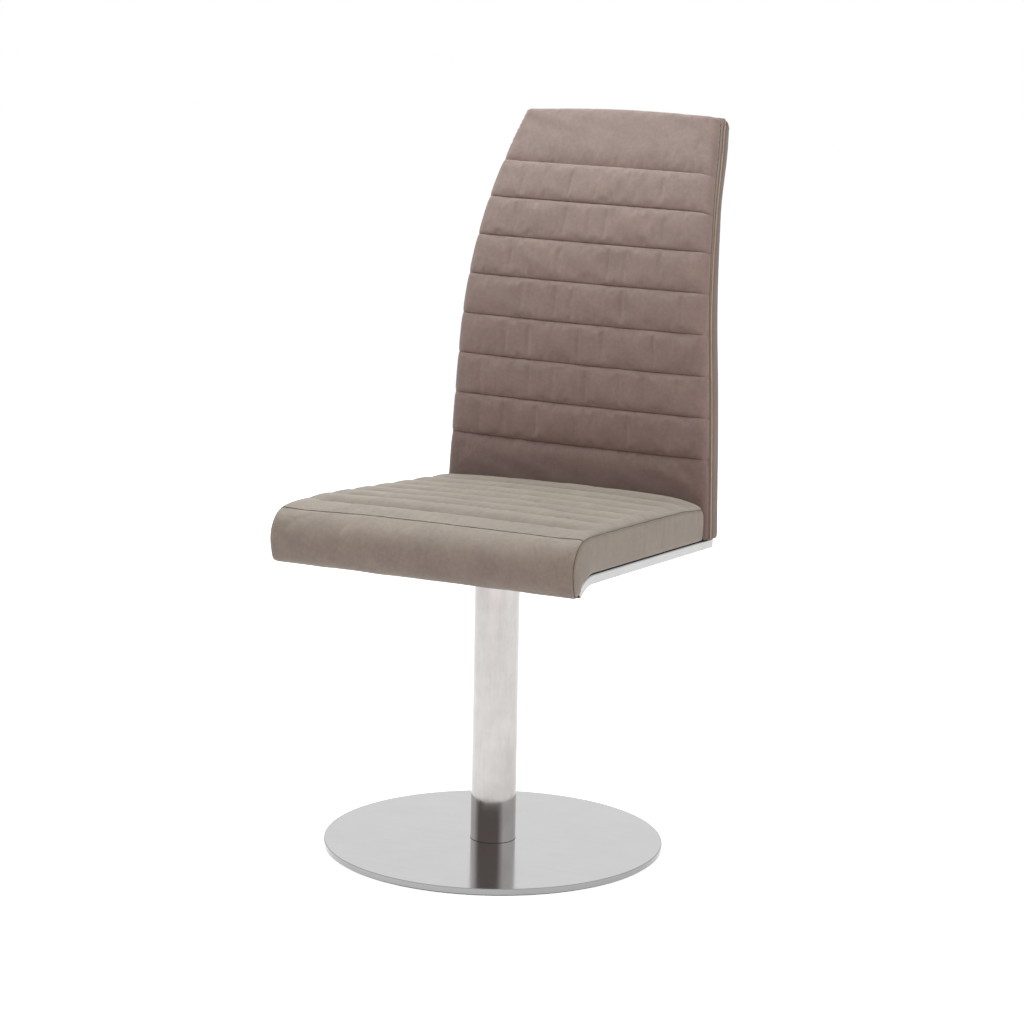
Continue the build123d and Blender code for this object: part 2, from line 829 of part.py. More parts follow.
def front_section(distance, edge, face, depth, corner):
    """Slice with its front face at depth face and crowned forward, closed at a given depth."""
    slant = corner * (1 - sqrt(0.5))
    with BuildSketch(back_slice(distance)) as section:
        with BuildLine():
            Line((-edge, depth), (-edge, face + corner))
            ThreePointArc(
                (-edge, face + corner), (-edge + slant, face + slant), (-edge + corner, face)
            )
            ThreePointArc(
                (-edge + corner, face), (0, face - back_crown), (edge - corner, face)
            )
            ThreePointArc(
                (edge - corner, face), (edge - slant, face + slant), (edge, face + corner)
            )
            Line((edge, face + corner), (edge, depth))
            Line((edge, depth), (-edge, depth))
        make_face()
    return section.sketch


def rear_section(distance, edge, start, face, corner):
    """Slice from depth start to a rear face at depth face, crowned rearward."""
    slant = corner * (1 - sqrt(0.5))
    with BuildSketch(back_slice(distance)) as section:
        with BuildLine():
            Line((-edge, start), (-edge, face - corner))
            ThreePointArc(
                (-edge, face - corner), (-edge + slant, face - slant), (-edge + corner, face)
            )
            ThreePointArc(
                (-edge + corner, face), (0, face + back_rear_crown), (edge - corner, face)
            )
            ThreePointArc(
                (edge - corner, face), (edge - slant, face - slant), (edge, face - corner)
            )
            Line((edge, face - corner), (edge, start))
            Line((edge, start), (-edge, start))
        make_face()
    return section.sketch


def top_silhouette(inset=0.0):
    """Block whose upper end has the backrest's arched top edge and rounded corners."""
    lower = back_height - 4 * top_corner_radius
    wide = back_bottom_half_width + back_height
    low_edge = back_half_width(lower) + silhouette_margin - inset
    top_edge = back_half_width(back_height) + silhouette_margin - inset
    y, z, lean = back_point(back_height - inset)
    face = Plane(origin=(0, y, z), x_dir=(1, 0, 0), z_dir=(0, -cos(lean), sin(lean)))
    with BuildPart() as block:
        with BuildSketch(face):
            with BuildLine():
                Polyline(
                    (top_edge, 0), (low_edge, lower - back_height), (wide, -back_height / 4),
                    (wide, -2 * back_height), (-wide, -2 * back_height), (-wide, -back_height / 4),
                    (-low_edge, lower - back_height), (-top_edge, 0),
                )
                ThreePointArc((-top_edge, 0), (0, top_arch), (top_edge, 0))
            top_face = make_face()
            corners = top_face.vertices().sort_by(Axis.Z)[-2:]
            fillet(corners, top_corner_radius)
        extrude(amount=back_height, both=True)
    return block.part


def back_seams():
    """Distances of the seams up the backrest, with its foot and the start of its top edge."""
    seams = [bottom_panel + i * channel_pitch for i in range(back_channels + 1)]
    return [0.0] + seams + [back_height + top_arch - top_edge_radius]


def front_slice(distance, sunk):
    """Outer slice of the front cover, sunk at a seam and full between seams."""
    edge = back_half_width(distance) - back_seam_draw_in * sunk
    face = back_seam_depth * sunk + top_drop(distance, top_edge_radius)
    return front_section(distance, edge, face, piping_depth - glue_line, back_edge_radius)


def front_channel(start, end):
    """One channel of the front cover as a block back to the piping, between two seams."""
    is_last = end > bottom_panel + back_channels * channel_pitch
    with BuildPart() as channel:
        loft([
            front_slice(start, start > 0),
            front_slice((start + end) / 2, False),
            front_slice(end, not is_last),
        ])
    return channel.part


def rounded_top_edge():
    """The last stretch of the front cover, drawn back from the face to round the top edge."""
    end = back_height + top_arch
    with BuildPart() as edge:
        loft([
            front_slice(end - top_edge_radius, False),
            front_slice(end - top_edge_radius / 2, False),
            front_slice(end + silhouette_margin, False),
        ])
    return edge.part


def smooth_distances():
    """Evenly spaced distances up the backrest for the slices of a smooth layer."""
    full = back_height + top_arch + silhouette_margin
    return [full * i / layer_slices for i in range(layer_slices + 1)]


def rear_block(start, inset, corner):
    """Smooth rear half of the backrest from depth start, inset from its outer surface."""
    slices = []
    for distance in smooth_distances():
        face = back_thickness(distance) - inset
        edge = back_half_width(distance) - inset
        slices.append(rear_section(distance, edge, start, face, corner))
    with BuildPart() as block:
        loft(slices)
        add(top_silhouette(inset), mode=Mode.INTERSECT)
    return block.part


def layer(front, rear, inset):
    """Flat-faced layer of the backrest between two depths, inset from its sides and top."""
    slices = []
    for distance in smooth_distances():
        edge = back_half_width(distance) - inset
        with BuildSketch(back_slice(distance)) as section:
            with Locations((0, (front + rear) / 2)):
                Rectangle(2 * edge, rear - front)
        slices.append(section.sketch)
    with BuildPart() as block:
        loft(slices)
        add(top_silhouette(inset), mode=Mode.INTERSECT)
    return block.part


board_front = back_top_thickness - cover_thickness - rear_pad_thickness - board_thickness
board_rear = board_front + board_thickness
tube_depth = board_front - back_tube_room - back_tube_diameter / 2
tube_bend_radius = back_bend_radius - tube_depth
tube_bend_reach = tube_bend_radius * tan(radians((back_top_lean - back_lean) / 2))


def tube_x(distance):
    """Distance of the back tube's upright from the middle, at a distance up its straight part."""
    foot = back_half_width(0) - back_tube_side
    knee = back_half_width(back_straight + tube_bend_reach) - back_tube_side
    return foot + (knee - foot) * distance / (back_straight + tube_bend_reach)


def tube_path():
    """Middle line of the back tube: up one side, across the top and down the other."""
    lean = radians(back_lean)
    knee_distance = back_straight + tube_bend_reach
    top_distance = back_height - back_tube_top_room
    foot = back_slice(0).from_local_coords(Vector(tube_x(0), tube_depth, -back_foot_gap))
    knee = back_slice(0).from_local_coords(
        Vector(tube_x(knee_distance), tube_depth, knee_distance)
    )
    top_x = back_half_width(top_distance) - back_tube_side
    top = back_slice(top_distance).from_local_coords(Vector(top_x, tube_depth, 0))
    below = Vector(0, -sin(lean), -cos(lean)) * back_tube_diameter
    right = [foot + below, knee, top]
    left = [Vector(-point.X, point.Y, point.Z) for point in reversed(right)]
    with BuildLine() as path:
        FilletPolyline(
            *right, *left,
            radius=[tube_bend_radius, back_tube_corner, back_tube_corner, tube_bend_radius],
        )
    return path.line


def tube_solid(radius):
    """Round rod along the back tube's middle line, with its feet cut along the rails."""
    path = tube_path()
    with BuildPart() as rod:
        with BuildSketch(Plane(origin=path @ 0, z_dir=path % 0)):
            Circle(radius)
        sweep(path=path)
        split(bisect_by=seat_plane.offset(rail_height), keep=Keep.TOP)
    return rod.part


def board_screw_rods(radius, front, rear):
    """Rods at the board screws on both sides, between two depths of the backrest."""
    with BuildPart() as rods:
        for distance in board_screw_heights:
            y, z, lean = back_point(distance)
            rearward = Vector(0, cos(lean), -sin(lean))
            origin = Vector(tube_x(distance), y, z) + rearward * front
            with BuildSketch(Plane(origin=origin, x_dir=(1, 0, 0), z_dir=rearward)):
                Circle(radius)
        extrude(amount=rear - front)
    return on_both_sides(rods.part)


board_screw_end = board_front - back_tube_room - back_tube_diameter / 2
board_screw_holes = board_screw_rods(
    board_screw_diameter / 2 + thread_clearance, board_screw_end, board_rear
)

with BuildPart() as foam_envelope:
    foam_inset = cover_thickness + glue_line
    foam_slices = []
    for distance in smooth_distances():
        foam_slices.append(front_section(
            distance, back_half_width(distance) - foam_inset,
            front_cover_thickness, board_front - glue_line, back_edge_radius - foam_inset,
        ))
    loft(foam_slices)
    add(top_silhouette(foam_inset), mode=Mode.INTERSECT)

with BuildPart() as back_frame:
    add(tube_solid(back_tube_diameter / 2))
    add(tube_solid(back_tube_diameter / 2 - back_tube_wall), mode=Mode.SUBTRACT)
    add(board_screw_holes, mode=Mode.SUBTRACT)

with BuildPart() as back_foam:
    add(foam_envelope.part)
    add(tube_solid(back_tube_diameter / 2), mode=Mode.SUBTRACT)
    add(board_screw_holes, mode=Mode.SUBTRACT)

with BuildPart() as back_board:
    add(layer(board_front, board_rear, cover_thickness + board_clearance))
    add(board_screw_holes, mode=Mode.SUBTRACT)

with BuildPart() as back_board_screws:
    add(board_screw_rods(board_screw_diameter / 2, board_screw_end, board_rear))
    add(board_screw_rods(
        board_screw_head_diameter / 2, board_rear, board_rear + board_screw_head_height
    ))

with BuildPart() as back_rear_pad:
    add(rear_block(piping_depth, cover_thickness, back_rear_edge_radius - cover_thickness))
    add(layer(0.0, board_rear + glue_line, -silhouette_margin), mode=Mode.SUBTRACT)
    add(
        board_screw_rods(board_screw_head_diameter / 2, board_rear,
                         board_rear + board_screw_head_height),
        mode=Mode.SUBTRACT,
    )

with BuildPart() as back_front_cover:
    seams = back_seams()
    for start, end in zip(seams[:-1], seams[1:]):
        add(front_channel(start, end))
    add(rounded_top_edge())
    add(top_silhouette(), mode=Mode.INTERSECT)
    add(foam_envelope.part, mode=Mode.SUBTRACT)

with BuildPart() as back_rear_cover:
    add(rear_block(piping_depth, 0.0, back_rear_edge_radius))
    add(
        rear_block(piping_depth - cover_thickness, cover_thickness,
                   back_rear_edge_radius - cover_thickness),
        mode=Mode.SUBTRACT,
    )

pieces = {
    "floor_pad": floor_pad,
    "base_plate": base_plate,
    "base_bolts": base_bolts,
    "column_foot_plug": column_foot_plug,
    "column_tube": column_tube,
    "bearing_housing": bearing_housing,
    "lower_bush": lower_bush,
    "upper_bush": upper_bush,
    "lower_race": lower_race,
    "upper_race": upper_race,
    "ball_cage": ball_cage,
    "bearing_balls": bearing_balls,
    "swivel_spindle": swivel_spindle,
    "spindle_washer": spindle_washer,
    "spindle_retaining_ring": spindle_retaining_ring,
    "seat_mount_plate": seat_mount_plate,
    "mount_plate_screws": mount_plate_screws,
    "mount_weld_nuts": mount_weld_nuts,
    "front_cross_bar": front_cross_bar,
    "rear_cross_bar": rear_cross_bar,
    "right_side_rail": right_side_rail,
    "left_side_rail": left_side_rail,
    "rail_end_caps": rail_end_caps,
    "dust_cover": dust_cover,
    "seat_shell": seat_shell,
    "seat_shell_screws": seat_shell_screws,
    "seat_foam": seat_foam,
    "seat_top_panel": seat_top_panel,
    "seat_front_panel": seat_front_panel,
    "seat_right_band": seat_right_band,
    "seat_left_band": seat_left_band,
    "seat_rear_band": seat_rear_band,
    "back_frame": back_frame,
    "back_foam": back_foam,
    "back_board": back_board,
    "back_board_screws": back_board_screws,
    "back_rear_pad": back_rear_pad,
    "back_front_cover": back_front_cover,
    "back_rear_cover": back_rear_cover,
}
for name, piece in pieces.items():
    piece.part.label = name
    export_step(piece.part, f"parts/{name}.step")
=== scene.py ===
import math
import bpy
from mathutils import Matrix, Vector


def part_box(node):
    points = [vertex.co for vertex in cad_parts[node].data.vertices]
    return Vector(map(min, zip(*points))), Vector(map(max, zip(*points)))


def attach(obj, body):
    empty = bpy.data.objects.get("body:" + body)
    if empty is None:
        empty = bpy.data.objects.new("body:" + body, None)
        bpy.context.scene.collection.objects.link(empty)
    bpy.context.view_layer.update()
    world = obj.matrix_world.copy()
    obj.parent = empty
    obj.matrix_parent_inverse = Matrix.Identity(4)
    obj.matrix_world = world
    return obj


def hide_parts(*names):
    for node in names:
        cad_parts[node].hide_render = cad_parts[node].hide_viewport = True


bl_info = {
    "name": "Swivel dining chair",
    "version": (1, 0, 0),
    "blender": (4, 5, 0),
    "location": "3D View > Sidebar > Chair",
    "description": "Dresses the chair's frame with upholstery, seams, steel and a studio",
    "category": "Add Mesh",
}

import bpy
import numpy as np
from bpy.props import FloatProperty, FloatVectorProperty, PointerProperty
from mathutils import Matrix, Vector

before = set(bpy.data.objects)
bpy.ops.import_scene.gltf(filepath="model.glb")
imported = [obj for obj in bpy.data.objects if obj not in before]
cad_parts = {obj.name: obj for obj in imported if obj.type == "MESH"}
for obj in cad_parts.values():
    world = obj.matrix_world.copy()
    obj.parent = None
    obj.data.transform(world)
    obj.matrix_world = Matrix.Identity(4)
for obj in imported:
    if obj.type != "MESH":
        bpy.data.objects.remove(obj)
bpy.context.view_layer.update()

# --- The chair's own frame, in metres, as its solids have it ------------------------------------
SEAT_TILT = math.radians(3.4)
RAIL_UNDERSIDE = 0.3966
SEAT_FRONT, SEAT_REAR = -0.216, 0.2095
FRONT_HALF_WIDTH, REAR_HALF_WIDTH = 0.216, 0.198
FRONT_SEAM = -0.191
SEAT_CHANNELS = 8
SHELL_LEVEL = 0.0137
BAND_PUFF, SEAT_TUCK = 0.0026, 0.0019
BEND_START, BEND_CENTRE, BEND_ANGLE = -0.156, -0.05575, math.radians(34)

BACK_FOOT = (0.2153, 0.0128)
BACK_LEAN, BACK_TOP_LEAN = math.radians(2.4), math.radians(31)
BACK_STRAIGHT, BACK_BEND_RADIUS = 0.2485, 0.530
BACK_HEIGHT, BACK_TOP_ARCH = 0.5855, 0.005
BACK_HALF_WIDTH, BACK_TAPER = 0.200, (0.0225, 0.0317)
BACK_THICKNESS, BACK_THINNING = 0.050, 0.001
BOTTOM_PANEL, CHANNEL_PITCH, BACK_CHANNELS = 0.1105, 0.0555, 7
OUTLINE_CORNER = 0.0012
TOP_BULGE, CORNER_LIFT = 0.0055, 0.0035
REAR_RADIUS, REAR_FULLNESS = 0.010, 0.0042
FRONT_END_RADIUS, REAR_END_RADIUS = 0.007, 0.006
PIPING_CORNER, PIPING_DEPTH, PIPING_DEEPER = 0.004, 0.018, 0.010

# Distances of the cross seams up the backrest, and the same with its two ends.
BACK_SEAMS = [BOTTOM_PANEL + number * CHANNEL_PITCH for number in range(BACK_CHANNELS + 1)]
BACK_BOUNDS = [0.0] + BACK_SEAMS + [BACK_HEIGHT]

# --- Finer sizes of the upholstery and the steel, in metres --------------------------------------
NOSE_SHOULDER, NOSE_CROWN, REAR_CROWN = 0.0022, 0.0034, 0.002
REAR_DROOP, SEAM_SWAY = 0.0034, 0.0052
PLEAT_DEPTH, PLEAT_PITCH = 0.0009, 0.0085
PLATE_FACE_RADIUS, SHADE_RING_RADIUS = 0.2240, 0.0003
THREAD_RADIUS, FRONT_THREAD_RADIUS, STITCH_WIDTH = 0.0005, 0.0004, 0.0006
BACK_THREAD_DEPTH, SEAT_STITCH_MARGIN = 0.0125, 0.030
# How far the two back cushions stop short of the piping, and the seat's top of its side bands.
FRONT_TO_PIPING, REAR_TO_PIPING, SIDE_INSET = 0.0016, 0.0010, 0.0008
# Heights of the dimples at the stitches, of the puckers beside the seams and of the broad waves.
SEAT_CREASES, BACK_CREASES = (0.00016, 0.00022, 0.0005), (0.0005, 0.0006, 0.0006)
# The covers' grids: their first step beside a seam, their widest step, and their columns.
SEAM_SPREAD, COVER_COLUMNS = (0.0006, 0.004), 190
TRIAL_SPACING, TRIAL_FRAMES = 0.0045, 20

# --- Colours: painted shade at the backrest's foot, from one height to another, and the room's dark part ---
PAINTED_FOOT_SHADE, PAINTED_FOOT_ZONE = (0.69, 0.62, 0.63), (0.435, 0.60)
DARK_ROOM, DARK_TOWARD_FRONT, DARK_LOW_DOWN = (0.235, 0.20, 0.19), (-0.62, -0.12), (0.30, 0.62)
FLOOR_SIZE, FLOOR_LEVEL = 14.0, -0.0004

# --- Lamps: name, power setting, place, target, size and colour ----------------------------------
MIDDLE = (0.0, 0.0, 0.5)
LAMPS = (
    ("overhead_lamp", "key_power", (-0.45, -0.05, 2.12), MIDDLE, (2.0, 2.0), (0.94, 1.0, 1.0)),
    ("right_lamp", "side_power", (3.0, 0.4, 1.4), MIDDLE, (1.6, 2.0), (1.0, 0.97, 0.91)),
    ("front_lamp", "front_power", (0.5, -2.4, 0.35), (0.0, 0.0, 0.4), (1.6, 0.5), (1.0, 0.73, 0.75)),
    ("rear_lamp", "rear_power", (-0.6, 3.0, 1.3), MIDDLE, (1.8, 1.6), (1.0, 0.98, 0.95)),
)


class ChairStage(bpy.types.PropertyGroup):
    """The camera, floor and lamps."""

    lens: FloatProperty(
        name="Lens", description="Focal length of the camera on a 36 mm sensor", default=103.48,
        unit="CAMERA",
    )
    azimuth: FloatProperty(
        name="Azimuth", description="How far round to the right the camera stands",
        default=math.radians(27.50), subtype="ANGLE",
    )
    distance: FloatProperty(
        name="Distance", description="From the chair's axis to the camera", default=3.7774,
        subtype="DISTANCE",
    )
    height: FloatProperty(
        name="Height", description="Height of the camera over the floor", default=1.1582, subtype="DISTANCE"
    )
    pitch: FloatProperty(
        name="Pitch", description="How far the camera looks down", default=math.radians(10.6111),
        subtype="ANGLE",
    )
    yaw: FloatProperty(
        name="Yaw", description="How far the camera looks to the right", default=math.radians(0.2593),
        subtype="ANGLE",
    )
    roll: FloatProperty(
        name="Roll", description="How far the picture is rolled", default=math.radians(1.1194),
        subtype="ANGLE",
    )
    key_power: FloatProperty(
        name="Key lamp", description="Power of the large lamp overhead", default=43.0, min=0.0, unit="POWER"
    )
    side_power: FloatProperty(
        name="Side lamp", description="Power of the lamp on the right", default=34.0, min=0.0, unit="POWER"
    )
    front_power: FloatProperty(
        name="Front lamp", description="Power of the low lamp in front", default=12.0, min=0.0, unit="POWER"
    )
    rear_power: FloatProperty(
        name="Rear lamp", description="Power of the lamp behind", default=24.0, min=0.0, unit="POWER"
    )
    sky: FloatProperty(name="Sky", description="Strength of the light from all round", default=0.07, min=0.0)


class ChairLeather(bpy.types.PropertyGroup):
    """The upholstery's colours and grain."""

    seat_colour: FloatVectorProperty(
        name="Seat colour", description="Leather of the seat", default=(0.340, 0.283, 0.243), subtype="COLOR"
    )
    back_colour: FloatVectorProperty(
        name="Back colour", description="Leather of the backrest", default=(0.315, 0.228, 0.206),
        subtype="COLOR",
    )
    piping_colour: FloatVectorProperty(
        name="Piping colour", description="Piping round the backrest", default=(0.56, 0.42, 0.31),
        subtype="COLOR",
    )
    thread_colour: FloatVectorProperty(
        name="Thread colour", description="Seam thread", default=(0.105, 0.082, 0.070), subtype="COLOR"
    )
    # Painted shade: the seat's leather is multiplied by this colour just behind its inner seams.
    painted_seam_tint: FloatVectorProperty(
        name="Seam tint", description="What the seat's leather is multiplied by in its soiled seams",
        default=(0.83, 0.81, 0.80), subtype="COLOR",
    )
    grain: FloatProperty(
        name="Grain", description="Width of one pebble of the leather's grain", default=0.0011,
        subtype="DISTANCE",
    )


class ChairUpholstery(bpy.types.PropertyGroup):
    """The shapes of the seat and the backrest."""

    seat_seam_depth: FloatProperty(
        name="Seat seam depth", description="How far the seat's seams are drawn in", default=0.0065,
        subtype="DISTANCE",
    )
    seat_shoulder: FloatProperty(
        name="Seat shoulder", description="Rise of the seat just inside its side seams", default=0.0088,
        subtype="DISTANCE",
    )
    seat_crown: FloatProperty(
        name="Seat crown", description="Rise of the middle of the seat", default=0.0135, subtype="DISTANCE"
    )
    back_seam_depth: FloatProperty(
        name="Back seam depth", description="How far the back's seams are drawn in", default=0.0052,
        subtype="DISTANCE",
    )
    back_crown: FloatProperty(
        name="Back crown", description="Rise of the middle of the backrest", default=0.004, subtype="DISTANCE"
    )
    back_edge: FloatProperty(
        name="Back edge", description="Radius of the backrest's front edge", default=0.011, subtype="DISTANCE"
    )
    piping: FloatProperty(
        name="Piping", description="Diameter of the piping", default=0.0028, subtype="DISTANCE"
    )
    stitch_pitch: FloatProperty(
        name="Stitch pitch", description="Distance from one stitch to the next", default=0.0045,
        subtype="DISTANCE",
    )


class ChairSteel(bpy.types.PropertyGroup):
    """The finish of the steel."""

    base_colour: FloatVectorProperty(
        name="Base", description="Brushed steel of the round base", default=(0.54, 0.54, 0.54),
        subtype="COLOR",
    )
    column_colour: FloatVectorProperty(
        name="Column", description="Brushed steel of the column", default=(0.445, 0.424, 0.418),
        subtype="COLOR",
    )
    rail_colour: FloatVectorProperty(
        name="Rails", description="Satin steel of the rails", default=(0.40, 0.40, 0.40), subtype="COLOR"
    )


# --- Materials ----------------------------------------------------------------------------------
def connect(tree, node, inputs):
    """Sets inputs of a node, each to a value or to another node's output."""
    for name, value in inputs.items():
        if isinstance(value, bpy.types.NodeSocket):
            tree.links.new(value, node.inputs[name])
        else:
            node.inputs[name].default_value = value


def add(tree, kind, inputs=None, **options):
    """A new node with its options and its inputs."""
    node = tree.nodes.new("ShaderNode" + kind)
    for name, value in options.items():
        setattr(node, name, value)
    connect(tree, node, inputs or {})
    return node


def new_material(name):
    """An empty node material, with its tree and its surface shader."""
    material = bpy.data.materials.new(name)
    material.use_nodes = True
    tree = material.node_tree
    tree.nodes.clear()
    shader = add(tree, "BsdfPrincipled")
    add(tree, "OutputMaterial", {"Surface": shader.outputs["BSDF"]})
    return material, tree, shader


def object_coordinates(tree, scale=(1.0, 1.0, 1.0)):
    """The piece's own coordinates in metres, stretched by a scale."""
    place = add(tree, "TexCoord").outputs["Object"]
    return add(tree, "Mapping", {"Vector": place, "Scale": scale}).outputs["Vector"]


def noise(tree, vector, scale, detail=4.0, roughness=0.55):
    """Noise of a number of features to the metre."""
    inputs = {"Vector": vector, "Scale": scale, "Detail": detail, "Roughness": roughness}
    return add(tree, "TexNoise", inputs).outputs["Fac"]


def ramp(tree, value, low, high, low_colour, high_colour):
    """A colour that goes from one to another as a value goes from low to high."""
    node = add(tree, "ValToRGB", {"Fac": value})
    first, last = node.color_ramp.elements
    first.position, last.position = low, high
    first.color, last.color = (*low_colour, 1.0), (*high_colour, 1.0)
    return node.outputs["Color"]


def level(tree, value, from_low, from_high, to_low, to_high):
    """A value moved from one range to another."""
    ranges = {"From Min": from_low, "From Max": from_high, "To Min": to_low, "To Max": to_high}
    return add(tree, "MapRange", {"Value": value, **ranges}).outputs["Result"]


def arithmetic(tree, operation, first, second):
    """One sum on two values, either of which may be a number."""
    return add(tree, "Math", {0: first, 1: second}, operation=operation).outputs["Value"]


def length(tree, vector):
    """The length of a vector."""
    return add(tree, "VectorMath", {0: vector}, operation="LENGTH").outputs["Value"]


def blended(tree, first, second, share):
    """Two values added together, with a share of the first and the rest of the second."""
    part = arithmetic(tree, "MULTIPLY", first, share)
    rest = arithmetic(tree, "MULTIPLY", second, 1 - share)
    return arithmetic(tree, "ADD", part, rest)


def mixed(tree, colour, other, share, blend="MIX"):
    """A colour mixed with another one, or multiplied by it, to the extent of a share."""
    inputs = {"Factor": share, "A": colour, "B": (*other, 1.0)}
    return add(tree, "Mix", inputs, data_type="RGBA", blend_type=blend).outputs["Result"]


def bump(tree, shader, height, distance, strength=1.0):
    """Raises the surface by a height field, on top of any bump that is there already."""
    node = add(tree, "Bump", {"Height": height, "Distance": distance, "Strength": strength})
    for already in shader.inputs["Normal"].links:
        tree.links.new(already.from_socket, node.inputs["Normal"])
    tree.links.new(node.outputs["Normal"], shader.inputs["Normal"])


def tint(colour, factor):
    """A colour made lighter or darker."""
    return tuple(min(1.0, channel * factor) for channel in colour)


def leather(name, colour, grain, foot=None, seam_shade_tint=None):
    """Matt brushed leather: fine pebbled grain, soft clouds of colour and a light nap. Below a foot,
    given as two heights, it is darkened by painted shade. Along its seams it can take painted shade
    too, from a colour that it is multiplied by there."""
    material, tree, shader = new_material(name)
    place = object_coordinates(tree)
    clouds = noise(tree, place, 26.0, 5.0, 0.62)
    brushed = noise(tree, place, 190.0, 3.0, 0.6)
    worn = [channel * share for channel, share in zip(colour, (1.12, 1.14, 1.10))]
    shade = ramp(tree, blended(tree, clouds, brushed, 0.5), 0.36, 0.66, tint(colour, 0.86), worn)
    # Painted shade: below the foot the colour is multiplied by a darker tint, fading out upward.
    if foot is not None:
        height = add(tree, "SeparateXYZ", {"Vector": place}).outputs["Z"]
        foot_shade_share = level(tree, height, foot[0], foot[1], 1.0, 0.0)
        shade = mixed(tree, shade, PAINTED_FOOT_SHADE, foot_shade_share, "MULTIPLY")
    # Painted shade along the seams, as strong as the mesh's attribute says.
    if seam_shade_tint is not None:
        in_seam = add(tree, "Attribute", attribute_name="in_seam").outputs["Fac"]
        shade = mixed(tree, shade, seam_shade_tint, in_seam, "MULTIPLY")
    connect(tree, shader, {
        "Base Color": shade,
        "Roughness": level(tree, brushed, 0.3, 0.7, 0.58, 0.72),
        "Sheen Weight": 0.35,
        "Sheen Roughness": 0.45,
        "Specular IOR Level": 0.45,
    })
    pebbles = add(tree, "TexVoronoi", {"Vector": place, "Scale": 1.0 / grain}, feature="SMOOTH_F1")
    bump(tree, shader, pebbles.outputs["Distance"], 0.00018, 0.55)
    bump(tree, shader, noise(tree, place, 85.0, 6.0, 0.7), 0.0006, 0.45)
    return material


def brushed_steel(
    name, colour, stretch, roughness, depth=0.00002, cloud=0.10, lined=0.5, cloud_scale=17.0
):
    """Steel with fine brush lines along the axis that is stretched least, and faint clouds."""
    material, tree, shader = new_material(name)
    lines = noise(tree, object_coordinates(tree, stretch), 1.0, 3.0, 0.65)
    clouds = noise(tree, object_coordinates(tree), cloud_scale, 5.0, 0.6)
    height = blended(tree, lines, clouds, lined)
    shade = ramp(tree, height, 0.35, 0.65, tint(colour, 1.0 - cloud), tint(colour, 1.0 + cloud))
    gloss = level(tree, height, 0.35, 0.65, roughness[1], roughness[0])
    connect(tree, shader, {"Base Color": shade, "Roughness": gloss, "Metallic": 1.0})
    bump(tree, shader, lines, depth, 0.5)
    return material


def plate_steel(name, colour, radius):
    """The base's brushed face, with a darker rim from a radius outward: a painted dark reflection."""
    material = brushed_steel(name, colour, (5.0, 620.0, 620.0), (0.09, 0.15), 0.000003, 0.035, 0.6)
    tree = material.node_tree
    shader = next(node for node in tree.nodes if node.type == "BSDF_PRINCIPLED")
    brushed = shader.inputs["Base Color"].links[0].from_socket
    # Painted reflection: the rim's colour is darkened to 0.62 of the steel's.
    from_axis = length(tree, object_coordinates(tree, (1.0, 1.0, 0.0)))
    painted_reflection_rim = level(tree, from_axis, radius - 0.0004, radius, 0.0, 1.0)
    connect(tree, shader, {"Base Color": mixed(tree, brushed, tint(colour, 0.62), painted_reflection_rim)})
    return material


def plain_finish(name, colour, roughness, metallic=0.0, scale=240.0, depth=0.0001, spread=0.12):
    """A cast, moulded or coated finish with a fine texture and slight wear in its gloss."""
    material, tree, shader = new_material(name)
    texture = noise(tree, object_coordinates(tree), scale)
    shade = ramp(tree, texture, 0.32, 0.68, tint(colour, 1.0 - spread), tint(colour, 1.0 + spread))
    worn = level(tree, texture, 0.3, 0.7, roughness - 0.07, roughness + 0.07)
    connect(tree, shader, {"Base Color": shade, "Roughness": worn, "Metallic": metallic})
    bump(tree, shader, texture, depth)
    return material


def textured(name, dark, light, contrast, roughness, depth, stretch, *texture):
    """A matt material whose colour and height follow one stretched noise."""
    material, tree, shader = new_material(name)
    height = noise(tree, object_coordinates(tree, stretch), *texture)
    shade = ramp(tree, height, 0.5 - contrast, 0.5 + contrast, dark, light)
    connect(tree, shader, {"Base Color": shade, "Roughness": roughness})
    bump(tree, shader, height, depth)
    return material


def thread(name, colour):
    """Twisted sewing thread."""
    dark, light = tint(colour, 0.7), tint(colour, 1.3)
    return textured(name, dark, light, 0.2, 0.6, 0.0002, (1.0, 1.0, 3.0), 900.0, 2.0)


def plywood(name, light, dark):
    """Moulded beech plywood, with its veneers showing as lines along the edge."""
    return textured(name, dark, light, 0.2, 0.55, 0.00015, (6.0, 60.0, 240.0), 2.2, 6.0, 0.6)


def cloth(name, colour):
    """Thin bonded cloth with a dimpled print."""
    dark, light = tint(colour, 0.6), tint(colour, 1.6)
    return textured(name, dark, light, 0.15, 0.9, 0.0003, (1.0, 1.0, 0.2), 620.0, 2.0)


# --- Meshes -------------------------------------------------------------------------------------
def smooth_mesh(name, vertices, faces, material):
    """A smooth-shaded mesh object from arrays of points and faces."""
    mesh = bpy.data.meshes.new(name)
    mesh.from_pydata([tuple(point) for point in vertices], [], [tuple(face) for face in faces])
    mesh.validate()
    mesh.shade_smooth()
    mesh.materials.append(material)
    piece = bpy.data.objects.new(name, mesh)
    bpy.context.scene.collection.objects.link(piece)
    return piece


def grid_faces(numbers):
    """The quads of a grid of vertex numbers."""
    corners = [numbers[:-1, :-1], numbers[:-1, 1:], numbers[1:, 1:], numbers[1:, :-1]]
    return np.stack([corner.ravel() for corner in corners], axis=1)


def rim(grid):
    """The outer row of a grid, in order round it."""
    return np.concatenate([grid[0], grid[1:, -1], grid[-1, -2::-1], grid[-2:0:-1, 0]])


